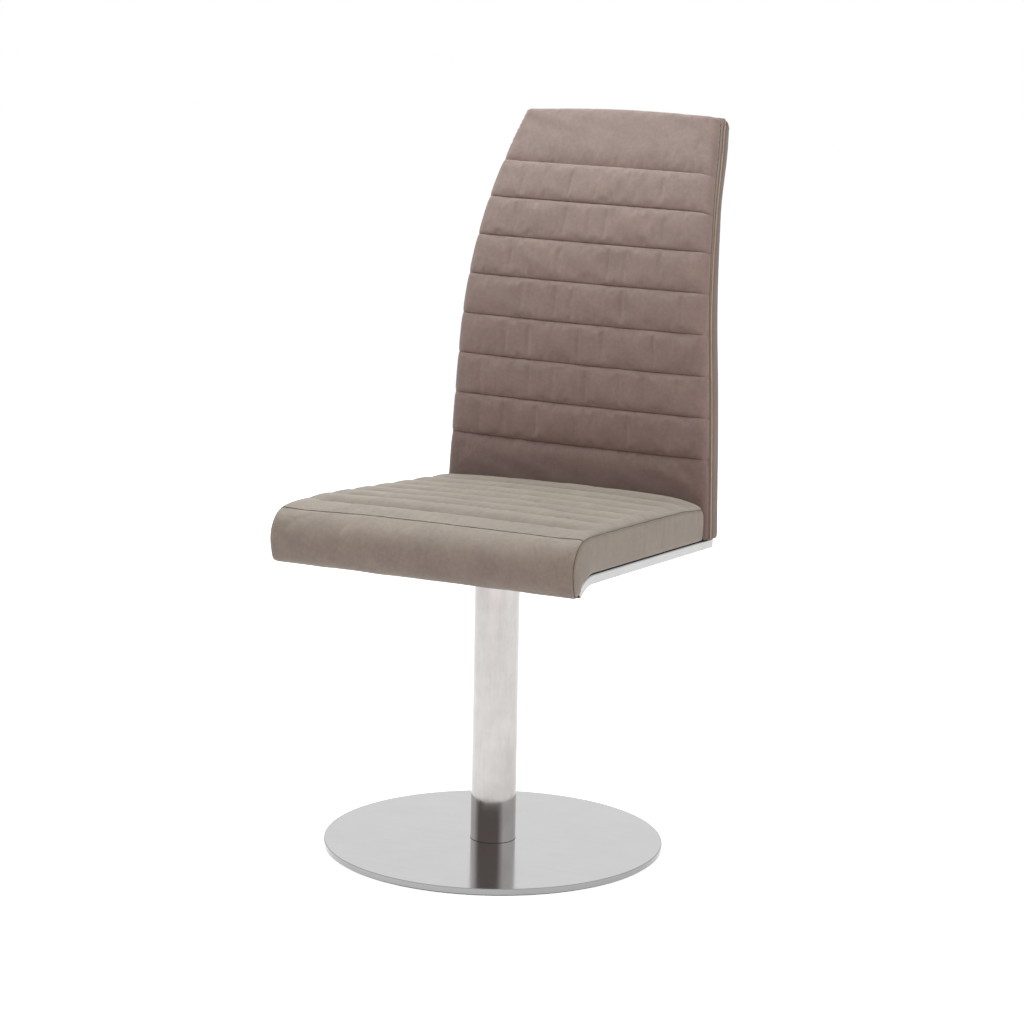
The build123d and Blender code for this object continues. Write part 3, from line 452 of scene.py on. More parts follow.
def closed_pad(name, face, rear, walls, material):
    """A closed cushion from the grid of its face, the grid behind it and the rows of its wall."""
    rows, columns = face.shape[:2]
    count = rows * columns
    face_numbers = np.arange(count).reshape(rows, columns)
    rear_numbers = face_numbers + count
    loops = [rim(face_numbers)]
    vertices = [face.reshape(-1, 3), rear.reshape(-1, 3)]
    start = 2 * count
    for wall in walls:
        loops.append(np.arange(start, start + len(wall)))
        vertices.append(wall)
        start += len(wall)
    loops.append(rim(rear_numbers))
    faces = [grid_faces(face_numbers), grid_faces(rear_numbers)[:, ::-1]]
    for outer, inner in zip(loops[:-1], loops[1:]):
        closed_outer = np.append(outer, outer[0])
        closed_inner = np.append(inner, inner[0])
        faces.append(grid_faces(np.stack([closed_inner, closed_outer])))
    return smooth_mesh(name, np.concatenate(vertices), np.concatenate(faces), material)


def swollen_cover(name, face, rear, held, growth, reach, firmness):
    """How far each point of a cushion's face moves when its cover swells as cloth under pressure.
    The cover is a little too large for its seams, so it puckers beside them, and firm foam keeps
    back a share of its even swelling. The cushion that this is tried on is taken away again."""
    trial = closed_pad(name, face, rear, [], bpy.data.materials.new(name))
    mesh = trial.data
    start = np.array([vertex.co for vertex in mesh.vertices])
    free = np.flatnonzero(~held.ravel())
    seams = trial.vertex_groups.new(name="seams")
    seams.add(np.setdiff1d(np.arange(len(start)), free).tolist(), 1.0, "REPLACE")
    modifier = trial.modifiers.new("cover", "CLOTH")
    cover = modifier.settings
    cover.vertex_group_mass = "seams"
    cover.quality = 5
    cover.mass = 0.3
    cover.tension_stiffness = 15.0
    cover.compression_stiffness = 15.0
    cover.shear_stiffness = 5.0
    cover.bending_stiffness = 0.3
    cover.use_pressure = True
    cover.uniform_pressure_force = 4.0
    cover.shrink_min = -growth
    cover.effector_weights.gravity = 0.0
    modifier.collision_settings.use_collision = False
    modifier.point_cache.frame_end = TRIAL_FRAMES
    scene = bpy.context.scene
    for frame_number in range(TRIAL_FRAMES):
        scene.frame_set(frame_number + 1)
    settled = trial.evaluated_get(bpy.context.evaluated_depsgraph_get()).data
    moved = np.array([vertex.co for vertex in settled.vertices]) - start
    scene.frame_set(1)
    bpy.data.objects.remove(trial)
    bpy.data.materials.remove(mesh.materials[0])
    bpy.data.meshes.remove(mesh)
    moved = moved[:held.size].reshape(face.shape)
    length = np.linalg.norm(moved, axis=-1, keepdims=True) + 1e-9
    moved = moved * reach * np.tanh(length / reach) / length
    inside = 1 - np.abs(np.linspace(-1.0, 1.0, held.shape[1]))**12
    return moved - firmness * moved.mean(axis=1, keepdims=True) * inside[:, None]


def held_places(shape, rows, edge):
    """Which points of a grid are sewn down: some rows, and a number of columns at each side."""
    held = np.zeros(shape, bool)
    held[rows] = True
    held[:, :edge] = True
    held[:, -edge:] = True
    return held


def even_steps(lines, spacing):
    """Positions from the first line to the last in nearly even steps, with every line among them."""
    positions = [lines[:1]]
    for start, end in zip(lines[:-1], lines[1:]):
        positions.append(np.linspace(start, end, round((end - start) / spacing) + 1)[1:])
    return np.concatenate(positions)


def read_between(values, places, at):
    """Values known at rising places, read smoothly at others."""
    index = np.clip(np.searchsorted(places, at) - 1, 0, len(places) - 2)
    width = (places[index + 1] - places[index])[:, None, None]
    share = ((at - places[index]) / (places[index + 1] - places[index]))[:, None, None]
    slope = np.gradient(values, places, axis=0)
    before, after = values[index], values[index + 1]
    lift = share * share * (3 - 2 * share)
    out = share * (1 - share)**2 * width
    back = share * share * (share - 1) * width
    return before + (after - before) * lift + slope[index] * out + slope[index + 1] * back


def read_grid(values, rows, columns, at_rows, at_columns):
    """A field known on a coarse grid, read at each row's own places on a finer one."""
    coarse = read_between(values, rows, at_rows)
    fine = [
        read_between(line[:, None], columns, places)[:, 0] for line, places in zip(coarse, at_columns)
    ]
    return np.array(fine)


def note_seam_shade(pad, share):
    """Stores how much painted shade each point of a cushion's face takes beside its seams, for its leather to
    read.
    """
    values = np.zeros(len(pad.data.vertices))
    values[:share.size] = share.ravel()
    pad.data.attributes.new("in_seam", "FLOAT", "POINT").data.foreach_set("value", values)


def ripple(along, wavelengths, seed):
    """A smooth uneven wave along a length, between about -1 and 1, the same for the same seed."""
    chance = np.random.default_rng(seed)
    wave = np.zeros_like(along)
    for wavelength in wavelengths:
        wave = wave + np.sin(2 * np.pi * along / wavelength + chance.uniform(0, 2 * np.pi))
    return wave / len(wavelengths)


def smooth_step(value):
    """0 below 0, 1 above 1 and smooth between."""
    clipped = np.clip(value, 0.0, 1.0)
    return clipped * clipped * (3 - 2 * clipped)


def rounded_rise(value):
    """A quarter circle's rise: 0 at 0, and 1 from 1 on."""
    return np.sqrt(np.clip(1 - np.clip(1 - value, 0, 1)**2, 0, 1))


def swell(share, power, rise=0.55):
    """How full a sewn channel is: 0 at its two seams and 1 between them."""
    return (1 - np.abs(2 * share - 1)**power)**rise


def edge_steps(first, last, growth=1.5):
    """Distances from an edge that start close together and widen."""
    steps = [0.0]
    step = first
    while steps[-1] + step < last:
        steps.append(steps[-1] + step)
        step *= growth
    return np.array(steps + [last])


def columns_within(half_widths, inset, count):
    """Places across each row of a grid, closer together beside its two sides."""
    rows = []
    for width in half_widths:
        left = -width + inset
        inner = np.linspace(-width + inset[-1], width - inset[-1], count)[1:-1]
        rows.append(np.concatenate([left, inner, -left[::-1]]))
    return np.array(rows)


def spread_between(lines, near, spacing):
    """Positions from the first line to the last, close together beside each line."""
    positions = []
    for start, end in zip(lines[:-1], lines[1:]):
        half = (end - start) / 2
        side = edge_steps(near, min(half, 0.012))
        count = max(2, int((2 * half - 2 * side[-1]) / spacing) + 1)
        middle = np.linspace(side[-1], 2 * half - side[-1], count)
        positions.append(start + np.concatenate([side[:-1], middle, 2 * half - side[-2:0:-1]]))
    return np.append(np.concatenate(positions), lines[-1])


def lengths_along(points):
    """How far along a line each of its points lies."""
    return np.concatenate([[0.0], np.cumsum(np.linalg.norm(np.diff(points, axis=0), axis=1))])


def read_along(values, along, at):
    """Rows of values known along a line, read at other places on it."""
    return np.stack([np.interp(at, along, column) for column in values.T], axis=1)


def stitches(name, lines, pitch, width, material):
    """Short stitches along seams, each seam given as its points and the normals at them."""
    vertices, faces = [], []
    stations = np.array([0.0, 0.18, 0.5, 0.82, 1.0]) * pitch * 0.74
    lift = np.array([-0.5, 0.25, 0.45, 0.25, -0.5])[:, None] * width
    for points, normals in lines:
        along = lengths_along(points)
        for start in np.arange(pitch / 2, along[-1] - pitch, pitch):
            normal = read_along(normals, along, start + stations)
            centre = read_along(points, along, start + stations) + normal * lift
            forward = centre[-1] - centre[0]
            forward = forward / np.linalg.norm(forward)
            base = len(vertices)
            for middle, up in zip(centre, normal):
                side = np.cross(forward, up)
                side = side / np.linalg.norm(side)
                for corner in range(6):
                    angle = corner * math.pi / 3
                    offset = side * math.cos(angle) + up * math.sin(angle)
                    vertices.append(middle + offset * width / 2)
            for ring in range(4):
                for corner in range(6):
                    after = (corner + 1) % 6
                    low, high = base + ring * 6, base + ring * 6 + 6
                    faces.append((low + corner, low + after, high + after, high + corner))
            faces.append(tuple(base + corner for corner in reversed(range(6))))
            faces.append(tuple(base + 24 + corner for corner in range(6)))
    return smooth_mesh(name, vertices, faces, material)


def soft_cord(name, points, radius, material, closed=False):
    """A thin round cord along a line of points."""
    curve = bpy.data.curves.new(name, "CURVE")
    curve.dimensions = "3D"
    curve.bevel_depth = radius
    curve.bevel_resolution = 3
    curve.use_fill_caps = True
    spline = curve.splines.new("POLY")
    spline.points.add(len(points) - 1)
    for target, point in zip(spline.points, points):
        target.co = (*point, 1.0)
    spline.use_smooth = True
    spline.use_cyclic_u = closed
    curve.materials.append(material)
    cord = bpy.data.objects.new(name, curve)
    bpy.context.scene.collection.objects.link(cord)
    return cord


# --- Places on the seat -------------------------------------------------------------------------
def on_seat(across, along, up):
    """World points from distances across the seat, along its rails and up from them."""
    sine, cosine = math.sin(SEAT_TILT), math.cos(SEAT_TILT)
    across, along, up = np.broadcast_arrays(across, along, up)
    height = RAIL_UNDERSIDE - along * sine + up * cosine
    return np.stack([across, along * cosine + up * sine, height], axis=-1)


def seat_half_width(along):
    """Half the seat's width at a distance along its rails."""
    share = (along - SEAT_FRONT) / (SEAT_REAR - SEAT_FRONT)
    return FRONT_HALF_WIDTH + (REAR_HALF_WIDTH - FRONT_HALF_WIDTH) * share


NOSE_LINE = (
    (-0.1965, -0.0075), (-0.2030, -0.0102), (-0.2085, -0.0085), (-0.2118, -0.0030), (-0.2145, 0.0060),
    (-0.2168, 0.0170), (-0.2162, 0.0290), (-0.2118, 0.0405), (-0.2040, 0.0500), (-0.1930, 0.0562),
    (-0.1800, 0.0586), (-0.1640, 0.0594), (-0.1480, 0.0595),
)


def through(points, spacing):
    """A smooth line through a few points, sampled at an even spacing."""
    points = np.array(points)
    padded = np.vstack([2 * points[0] - points[1], points, 2 * points[-1] - points[-2]])
    samples = []
    for before, start, end, after in zip(padded[:-3], padded[1:-2], padded[2:-1], padded[3:]):
        t = np.linspace(0, 1, 12, endpoint=False)[:, None]
        samples.append(0.5 * (
            2 * start + (end - before) * t + (2 * before - 5 * start + 4 * end - after) * t**2
            + (3 * start - before - 3 * end + after) * t**3
        ))
    line = np.vstack(samples + [points[-1:]])
    along = lengths_along(line)
    return read_along(line, along, np.linspace(0, along[-1], int(along[-1] / spacing) + 1))


class SeatForm:
    """The seat's cover: its side profile, and how far it stands out over it."""

    def __init__(self, settings):
        self.settings = settings
        step, corner = 0.0005, 0.006
        nose = through(NOSE_LINE, step)
        top_level = nose[-1, 1]
        flat = np.arange(nose[-1, 0] + step, SEAT_REAR - corner, step)
        flat = np.stack([flat, np.full_like(flat, top_level)], axis=1)
        turn = np.linspace(0, math.pi / 2, 20)
        rear = np.stack([
            SEAT_REAR - corner + corner * np.sin(turn), top_level - corner + corner * np.cos(turn)
        ], axis=1)
        self.line = np.vstack([nose, flat, rear])
        self.along = lengths_along(self.line)
        seams = [self.distance_at(FRONT_SEAM)]
        pitch = (SEAT_REAR - FRONT_SEAM) / SEAT_CHANNELS
        for number in range(1, SEAT_CHANNELS):
            seams.append(self.distance_at(FRONT_SEAM + pitch * number))
        self.seams = seams
        self.bounds = [0.0] + seams + [float(self.along[-1])]
        self.distance_over_bend = self.distance_at(BEND_START)

    def distance_at(self, y):
        """Distance along the profile of the place on its upper side over a distance along the rails."""
        upper = self.line[:, 1] > 0.045
        return float(np.interp(y, self.line[upper, 0], self.along[upper]))

    def place(self, distance):
        """Place on the side profile at distances along it."""
        return [np.interp(distance, self.along, self.line[:, k]) for k in range(2)]

    def profile(self, distance):
        """Place and outward direction on the side profile at distances along it."""
        y, z = self.place(distance)
        y_ahead, z_ahead = self.place(np.minimum(distance + 0.002, self.along[-1]))
        y_behind, z_behind = self.place(np.maximum(distance - 0.002, 0.0))
        dy, dz = y_ahead - y_behind, z_ahead - z_behind
        size = np.hypot(dy, dz)
        return y, z, -dz / size, dy / size

    def fullness(self, distance):
        """Share of the seat's full rise at distances along the profile."""
        y, _ = self.place(distance)
        full = smooth_step((distance - self.seams[0] + 0.014) / 0.110)
        return np.where(y < FRONT_SEAM - 0.03, 0.0, full)

    def relief(self, distance, inward, across, half_width):
        """Height of the cover over its side profile, with seams, channels and small creases."""
        settings = self.settings
        full = self.fullness(distance)
        y, _ = self.place(distance)
        toward_rear = smooth_step((y - 0.03) / 0.15) * on_right(across / half_width)
        shoulder = NOSE_SHOULDER + (settings.seat_shoulder - NOSE_SHOULDER) * full
        crown = NOSE_CROWN + (settings.seat_crown - NOSE_CROWN) * full
        radius = 0.006 + 0.006 * full + 0.022 * toward_rear
        near = np.clip(1 - inward / radius, 0.0, 1.0)
        height = shoulder * np.sqrt(1 - near**2) + (crown - shoulder) * (1 - (across / half_width)**2)
        index, share = channel_share(distance, self.bounds)
        bounds = np.array(self.bounds)
        starts, ends = bounds[index], bounds[index + 1]
        to_edge = smooth_step(inward / 0.045)
        deep = np.where(index == 0, 0.3, np.where(index == 1, 0.3 + 0.7 * share, 1.0))
        depth = settings.seat_seam_depth * deep * (0.10 + 0.90 * to_edge)
        channels = depth * (swell(share, 2.0, 0.7) - 1)
        front = -depth * np.exp(-(ends - distance) / 0.0045)
        height = height + np.where(index == 0, front, channels)
        gap = np.minimum(np.abs(distance - starts) + (index == 0), np.abs(ends - distance))
        start_here = across + 0.3 * starts
        stitched = stitch_pucker(start_here, settings.stitch_pitch, 10) * np.exp(-gap / 0.003)
        pucker = ripple(start_here, (0.013, 0.019, 0.031), 11) * np.exp(-gap / 0.010)
        broad = ripple(across * 0.8 + distance * 1.7, (0.061, 0.093), 12)
        broad = broad * ripple(distance, (0.083, 0.12), 13)
        creases = SEAT_CREASES[0] * stitched + SEAT_CREASES[1] * pucker + SEAT_CREASES[2] * broad
        droop = rear_droop(y, across / half_width) * (1 - smooth_step(inward / 0.05))
        return height + creases * to_edge - droop


def on_right(side):
    """1 at the seat's right side, falling to 0 at its left."""
    return smooth_step(0.5 + 0.5 * side)


def rear_droop(y, side):
    """How far the seat's right rear corner hangs down beside the backrest."""
    return REAR_DROOP * smooth_step((y - 0.13) / 0.07) * on_right(side)


def stitch_pucker(along, pitch, seed):
    """The small dimples of a row of stitches, uneven as they are in leather."""
    chance = np.random.default_rng(seed)
    drift = ripple(along, (0.035, 0.058, 0.091), seed + 1)
    wave = np.cos(2 * np.pi * along / pitch + 1.6 * drift + chance.uniform(0, 2 * np.pi))
    return wave * (0.65 + 0.35 * ripple(along, (0.023, 0.041), seed + 2))


def seam_sway(form, distance, share):
    """How far the front seam swings forward toward its left end, at distances along the profile."""
    gap = np.abs(distance - form.seams[0])
    return -SEAM_SWAY * smooth_step((-share - 0.25) / 0.75) * np.exp(-(gap / 0.035)**2)


def seat_grids(form):
    """Places on the seat's cover as a grid, each row at one distance along the profile."""
    distance = spread_between(form.bounds, *SEAM_SPREAD)
    half = seat_half_width(form.place(distance)[0]) - SIDE_INSET
    return distance, columns_within(half, edge_steps(0.0005, 0.016, 1.4), COVER_COLUMNS), half


def seat_cover(form, distance, across, lift=0.0):
    """Points on the seat's cover, with the outward direction at each."""
    half = seat_half_width(form.place(distance)[0]) - SIDE_INSET
    place = distance + seam_sway(form, distance, across / half)
    y, z, out_y, out_z = form.profile(place)
    height = form.relief(distance, half - np.abs(across), across, half) + lift
    points = on_seat(across, y + out_y * height, z + out_z * height)
    return points, on_seat(0.0 * across, out_y, out_z) - on_seat(0.0 * across, 0.0, 0.0)


def under_line(form, distance):
    """The lower edge of the seat's side, opposite each distance along the profile."""
    bend = form.distance_over_bend
    share = np.clip((bend - distance) / bend, 0.0, 1.0)
    angle = share * BEND_ANGLE
    reach = SHELL_LEVEL - BEND_CENTRE
    straight = np.maximum(form.place(distance)[0], BEND_START)
    low_y = np.where(distance < bend, BEND_START - reach * np.sin(angle), straight)
    low_z = np.where(distance < bend, BEND_CENTRE + reach * np.cos(angle), SHELL_LEVEL)
    return low_y, low_z


class CHAIR_OT_seat(bpy.types.Operator):
    """Makes the seat's padded cover, one closed form with its channels and side bands."""

    bl_idname = "chair.seat"
    bl_label = "Seat cushion"

    def execute(self, context):
        leather_settings = context.scene.chair_leather
        form = SeatForm(context.scene.chair_upholstery)
        distance, across, half = seat_grids(form)
        rows = np.broadcast_to(distance[:, None], across.shape)
        face, _ = seat_cover(form, rows, across)
        face = face + seat_swelling(form, distance, across / half[:, None])
        low_y, low_z = under_line(form, distance)
        scaled = across * ((half - SEAT_TUCK) / half)[:, None]
        rear = on_seat(scaled, low_y[:, None], low_z[:, None])
        walls = seat_walls(form, rows, across, half[:, None], low_y[:, None], low_z[:, None])
        pad = closed_pad(
            "seat_cushion", face, rear, walls,
            leather(
                "seat leather", leather_settings.seat_colour, leather_settings.grain,
                seam_shade_tint=leather_settings.painted_seam_tint,
            ),
        )
        # Painted shade: a band just behind each inner seam of the seat, weaker toward its sides.
        in_seam = np.zeros_like(across)
        for seam in form.seams[1:]:
            in_seam = in_seam + np.exp(-((rows - seam - 0.003) / 0.011)**2)
        note_seam_shade(pad, in_seam * (0.3 + 0.7 * smooth_step((half[:, None] - np.abs(across)) / 0.05)))
        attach(pad, "seat")
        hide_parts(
            "seat_foam", "seat_top_panel", "seat_front_panel", "seat_right_band", "seat_left_band",
            "seat_rear_band",
        )
        return {"FINISHED"}


def seat_swelling(form, distance, side):
    """How the seat's cover moves as cloth, at distances along the profile and shares of its width."""
    coarse = even_steps(form.bounds, TRIAL_SPACING)
    shares = np.linspace(-1.0, 1.0, 93)
    half = seat_half_width(form.place(coarse)[0]) - SIDE_INSET
    across = half[:, None] * shares
    face, _ = seat_cover(form, np.broadcast_to(coarse[:, None], across.shape), across)
    low_y, low_z = under_line(form, coarse)
    rear = on_seat(across, low_y[:, None], low_z[:, None])
    held = held_places(across.shape, np.isin(coarse, form.bounds), 1)
    moved = swollen_cover("seat_trial", face, rear, held, growth=0.004, reach=0.0018, firmness=0.0)
    return read_grid(moved, coarse, shares, distance, side)


def band_folds(y, share, seed):
    """A few faint upright folds in a side band, each at its own place, width and length."""
    chance = np.random.default_rng(seed)
    folds = np.zeros_like(y)
    for _ in range(9):
        place, width = chance.uniform(-0.14, 0.195), chance.uniform(0.0016, 0.0042)
        depth, centre = chance.uniform(0.0003, 0.0009), chance.uniform(0.25, 0.7)
        slant = chance.uniform(-0.012, 0.012) * (share - 0.5)
        reach = math.exp(-((share - centre) / 0.33)**2)
        folds = folds - depth * reach * np.exp(-((y - place - slant) / width)**2)
    return folds


def seat_walls(form, distance, across, half, low_y, low_z):
    """The rows of the seat's sides, from its side seam down to its lower edge."""
    place = distance + seam_sway(form, distance, across / half)
    y, z = form.place(place)
    z = z - rear_droop(y, across / half)
    shares = (
        0.012, 0.03, 0.06, 0.10, 0.16, 0.24, 0.32, 0.42, 0.52, 0.62, 0.72, 0.80, 0.87, 0.925, 0.96, 0.985,
    )
    length = np.hypot(z - low_z, y - low_y)
    walls = []
    for share in shares:
        row_y = y + (low_y - y) * share
        row_z = z + (low_z - z) * share
        down = length * share
        up = length * (1 - share)
        puff = BAND_PUFF * rounded_rise(down / 0.005)
        tuck = SEAT_TUCK * (1 - rounded_rise(up / 0.004))
        belly = 0.0012 * math.sin(math.pi * share)
        gathers = 0.00035 * ripple(row_y, (0.017, 0.027, 0.044), 21) * math.exp(-share / 0.25)
        bulge = puff - tuck + belly + gathers + band_folds(row_y, share, 22) - BAND_PUFF
        width = half + SIDE_INSET + bulge
        row = on_seat(across * (width / half), row_y, row_z)
        walls.append(rim(row))
    return walls


# --- Places on the backrest ---------------------------------------------------------------------
def back_line(distance):
    """Place and lean of the backrest's front line at distances up it."""
    distance = np.asarray(distance, float)
    foot_y, foot_z = BACK_FOOT
    sine, cosine = math.sin(SEAT_TILT), math.cos(SEAT_TILT)
    y = foot_y * cosine + foot_z * sine
    z = RAIL_UNDERSIDE - foot_y * sine + foot_z * cosine
    straight = np.minimum(distance, BACK_STRAIGHT)
    bend_length = BACK_BEND_RADIUS * (BACK_TOP_LEAN - BACK_LEAN)
    bent = np.clip(distance - BACK_STRAIGHT, 0.0, bend_length)
    lean = BACK_LEAN + bent / BACK_BEND_RADIUS
    beyond = np.maximum(distance - BACK_STRAIGHT - bend_length, 0.0)
    y = y + straight * math.sin(BACK_LEAN) + BACK_BEND_RADIUS * (math.cos(BACK_LEAN) - np.cos(lean))
    z = z + straight * math.cos(BACK_LEAN) + BACK_BEND_RADIUS * (np.sin(lean) - math.sin(BACK_LEAN))
    return y + beyond * np.sin(lean), z + beyond * np.cos(lean), lean


def on_back(across, distance, depth):
    """World points from distances across and up the backrest and back from its front."""
    y, z, lean = back_line(distance)
    across, y, z, lean, depth = np.broadcast_arrays(across, y, z, lean, depth)
    return np.stack([across, y + depth * np.cos(lean), z - depth * np.sin(lean)], axis=-1)


def back_half_width(distance):
    """Half the backrest's width at a distance up it."""
    share = distance / BACK_HEIGHT
    return BACK_HALF_WIDTH - BACK_TAPER[0] * share - BACK_TAPER[1] * share**3


def back_thickness(distance):
    """The backrest's thickness at a distance up it."""
    return BACK_THICKNESS - BACK_THINNING * distance / BACK_HEIGHT


def arched(distance, across):
    """Distances up the back as its cover has them: the seams lean a little, as they are sewn, and
    the last panel is stretched to the arched top edge."""
    half = back_half_width(BACK_HEIGHT)
    last_seam = BOTTOM_PANEL + BACK_CHANNELS * CHANNEL_PITCH
    share = np.clip((distance - last_seam) / (BACK_HEIGHT - last_seam), 0.0, 1.0)
    side = np.clip(across / back_half_width(distance), -1.0, 1.0)
    held = smooth_step(distance / 0.09) * smooth_step((BACK_HEIGHT - distance) / 0.06)
    lean = held * (0.0009 - 0.0027 * side + 0.0011 * side**2)
    upper = np.exp(-((distance - last_seam + 0.025) / 0.042)**2)
    dip = -0.0038 * upper * smooth_step((side - 0.84) / 0.16)
    arch = share * BACK_TOP_ARCH * (1 - np.minimum(np.abs(across) / half, 1.0)**2)
    return distance + lean + dip + arch


def piping_depth(distance):
    """How far the piping lies behind the front line: deeper toward the top of the backrest."""
    return PIPING_DEPTH + PIPING_DEEPER * smooth_step((distance - 0.27) / 0.32)


def top_bulge(distance, depth, across):
    """How far the backrest's upper end swells upward between its front and its rear, most at its
    right corner, where the cover is folded over."""
    near_top = smooth_step(1 - (BACK_HEIGHT - distance) / 0.006)
    swell_up = TOP_BULGE * np.sin(math.pi * np.clip((depth - 0.006) / 0.042, 0.0, 1.0))
    in_corner = smooth_step((across / back_half_width(BACK_HEIGHT) - 0.84) / 0.16)
    return near_top * (swell_up + CORNER_LIFT * in_corner * smooth_step((depth - 0.014) / 0.012))


def rounded(distance, across, side_radius, end_radius):
    """Places on a cover whose outline has rounded corners, and how far its edge is drawn back there."""
    half = back_half_width(distance)
    from_side = half - np.abs(across)
    from_top, from_foot = BACK_HEIGHT - distance, distance
    from_end = np.minimum(from_top, from_foot)
    to_side = np.clip(1 - from_side / side_radius, 0.0, 1.0)
    to_end = np.clip(1 - from_end / end_radius, 0.0, 1.0)
    reach = np.minimum((to_side**3 + to_end**3)**(1 / 3), 1.0)
    drawn = 1 - np.sqrt(1 - reach**2)
    beside = np.clip(1 - from_side / OUTLINE_CORNER, 0.0, 1.0)
    above = np.clip(1 - from_end / OUTLINE_CORNER, 0.0, 1.0)
    inward = OUTLINE_CORNER * beside * (1 - np.sqrt(1 - above**2 / 2))
    down = OUTLINE_CORNER * above * (1 - np.sqrt(1 - beside**2 / 2))
    across = across - np.sign(across) * inward
    shifted = distance + np.where(from_top < from_foot, -down, down)
    return across, arched(shifted, across), drawn, to_side


def back_grid(distance, side_radius, columns):
    """A grid over the backrest's outline, closer together beside its two sides."""
    inset = edge_steps(0.0005, side_radius * 1.25, 1.35)
    across = columns_within(back_half_width(distance), inset, columns)
    return np.broadcast_to(distance[:, None], across.shape), across


def channel_share(distance, lines):
    """The channel that each distance lies in, and its place between that channel's two seams."""
    index = np.clip(np.searchsorted(lines, distance, side="right") - 1, 0, len(lines) - 2)
    lines = np.array(lines)
    return index, (distance - lines[index]) / (lines[index + 1] - lines[index])


def front_relief(settings, distance, across):
    """Depth of the front cover behind the backrest's front line, with channels and creases."""
    half = back_half_width(distance)
    lines = np.array(BACK_BOUNDS)
    index, share = channel_share(distance, lines)
    inward = half - np.abs(across)
    to_edge = smooth_step(inward / 0.035)
    depth = settings.back_seam_depth * (0.45 + 0.55 * to_edge)
    starts, ends = lines[index], lines[index + 1]
    end_panel = (index == 0) | (index == len(lines) - 2)
    gap_below = distance - starts + (index == 0)
    gap_above = ends - distance + (index == len(lines) - 2)
    gap = np.minimum(gap_below, gap_above)
    channels = 1 - swell(share, 6.0)
    sunk = np.where(end_panel, np.exp(-gap / 0.008), channels)
    crown = settings.back_crown * (1 - (across / half)**2)
    start_here = across + 0.7 * starts
    stitched = stitch_pucker(start_here, settings.stitch_pitch, 30) * np.exp(-gap / 0.0035)
    pucker = ripple(start_here, (0.0125, 0.019, 0.028), 31) * np.exp(-gap / 0.011)
    broad = ripple(across * 0.9 + distance * 2.3, (0.071, 0.104), 32)
    broad = broad * ripple(distance, (0.09, 0.13), 33)
    creases = BACK_CREASES[0] * stitched + BACK_CREASES[1] * pucker + BACK_CREASES[2] * broad
    pleats = side_pleats(distance) * np.exp(-(inward / 0.018)**2)
    return depth * sunk - crown + creases * to_edge + pleats


def front_cover(settings, distance, across, lift=0.0):
    """Points on the backrest's front cover at distances up it and across it."""
    edge = settings.back_edge
    side, up, drawn, to_side = rounded(distance, across, edge, FRONT_END_RADIUS)
    relief = front_relief(settings, distance, across) - lift
    side = side - np.sign(side) * np.maximum(relief, -0.0003) * to_side**2
    depth = relief * (1 - drawn) + drawn * edge
    return on_back(side, up + top_bulge(distance, depth, side), depth)


def side_pleats(distance):
    """Small gathers at the upper corners, where the front cover turns onto its side."""
    high_up = smooth_step((distance - BACK_HEIGHT + 0.085) / 0.04)
    return PLEAT_DEPTH * high_up * stitch_pucker(distance, PLEAT_PITCH, 34)


def back_swelling(settings, distance, across):
    """How the back's front cover moves as cloth, at distances up it and places across it."""
    coarse = even_steps(BACK_BOUNDS, TRIAL_SPACING)
    shares = np.linspace(-1.0, 1.0, 85)
    half = back_half_width(coarse)
    coarse_across = half[:, None] * shares
    rows = np.broadcast_to(coarse[:, None], coarse_across.shape)
    face = front_cover(settings, rows, coarse_across)
    rear = on_back(coarse_across, rows, 0.030)
    held = held_places(rows.shape, np.isin(coarse, BACK_BOUNDS), 3)
    moved = swollen_cover("back_trial", face, rear, held, growth=0.010, reach=0.0025, firmness=0.75)
    return read_grid(moved, coarse, shares, distance, across / back_half_width(distance)[:, None])


# Rows of the two cushions' sides: how far behind the face each is, and how far it stands out.
FRONT_WALL = (
    (0.12, 0.0001), (0.24, 0.0003), (0.38, 0.0004), (0.52, 0.0004), (0.66, 0.0003), (0.8, 0.0001),
    (0.9, -0.0004), (0.96, -0.0009),
)
REAR_WALL = (
    (0.15, 0.0001), (0.35, 0.0003), (0.55, 0.0003), (0.70, 0.0001), (0.80, -0.0006), (0.87, -0.0018),
    (0.92, -0.0028),
)


class CHAIR_OT_back_front(bpy.types.Operator):
    """Makes the backrest's channelled front cushion."""

    bl_idname = "chair.back_front"
    bl_label = "Back cushion"

    def execute(self, context):
        settings = context.scene.chair_upholstery
        leather_settings = context.scene.chair_leather
        distance = spread_between(BACK_BOUNDS, *SEAM_SPREAD)
        distance, across = back_grid(distance, settings.back_edge, COVER_COLUMNS)
        face = front_cover(settings, distance, across)
        face = face + back_swelling(settings, distance[:, 0], across)
        side, up, _, _ = rounded(distance, across, settings.back_edge, FRONT_END_RADIUS)
        half = back_half_width(distance)
        end = piping_depth(distance) - FRONT_TO_PIPING
        narrower, lower = 0.994, 0.001
        rear = on_back(side * narrower, up + top_bulge(distance, end, side) - lower, end)
        walls = []
        for share, out in FRONT_WALL:
            depth = settings.back_edge + (end - settings.back_edge) * share
            width = half + out - side_pleats(distance) * (1 - share)**2
            walls.append(rim(on_back(side * (width / half), up + top_bulge(distance, depth, side), depth)))
        # The front cushion's leather is darkened low down, toward the seat: painted shade.
        pad = closed_pad(
            "back_front_cushion", face, rear, walls,
            leather("back leather", leather_settings.back_colour, leather_settings.grain, PAINTED_FOOT_ZONE),
        )
        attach(pad, "seat")
        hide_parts("back_front_cover", "back_foam")
        return {"FINISHED"}


def rear_place(distance, across):
    """Places on the backrest's rear cover, its thickness there and how far its edge is drawn back."""
    side, up, drawn, _ = rounded(distance, across, REAR_RADIUS, REAR_END_RADIUS)
    fuller = smooth_step((distance - 0.46) / 0.10)
    thickness = back_thickness(distance) + REAR_FULLNESS * fuller
    return side * (1 + 0.0009 * fuller / back_half_width(distance)), up, thickness, drawn


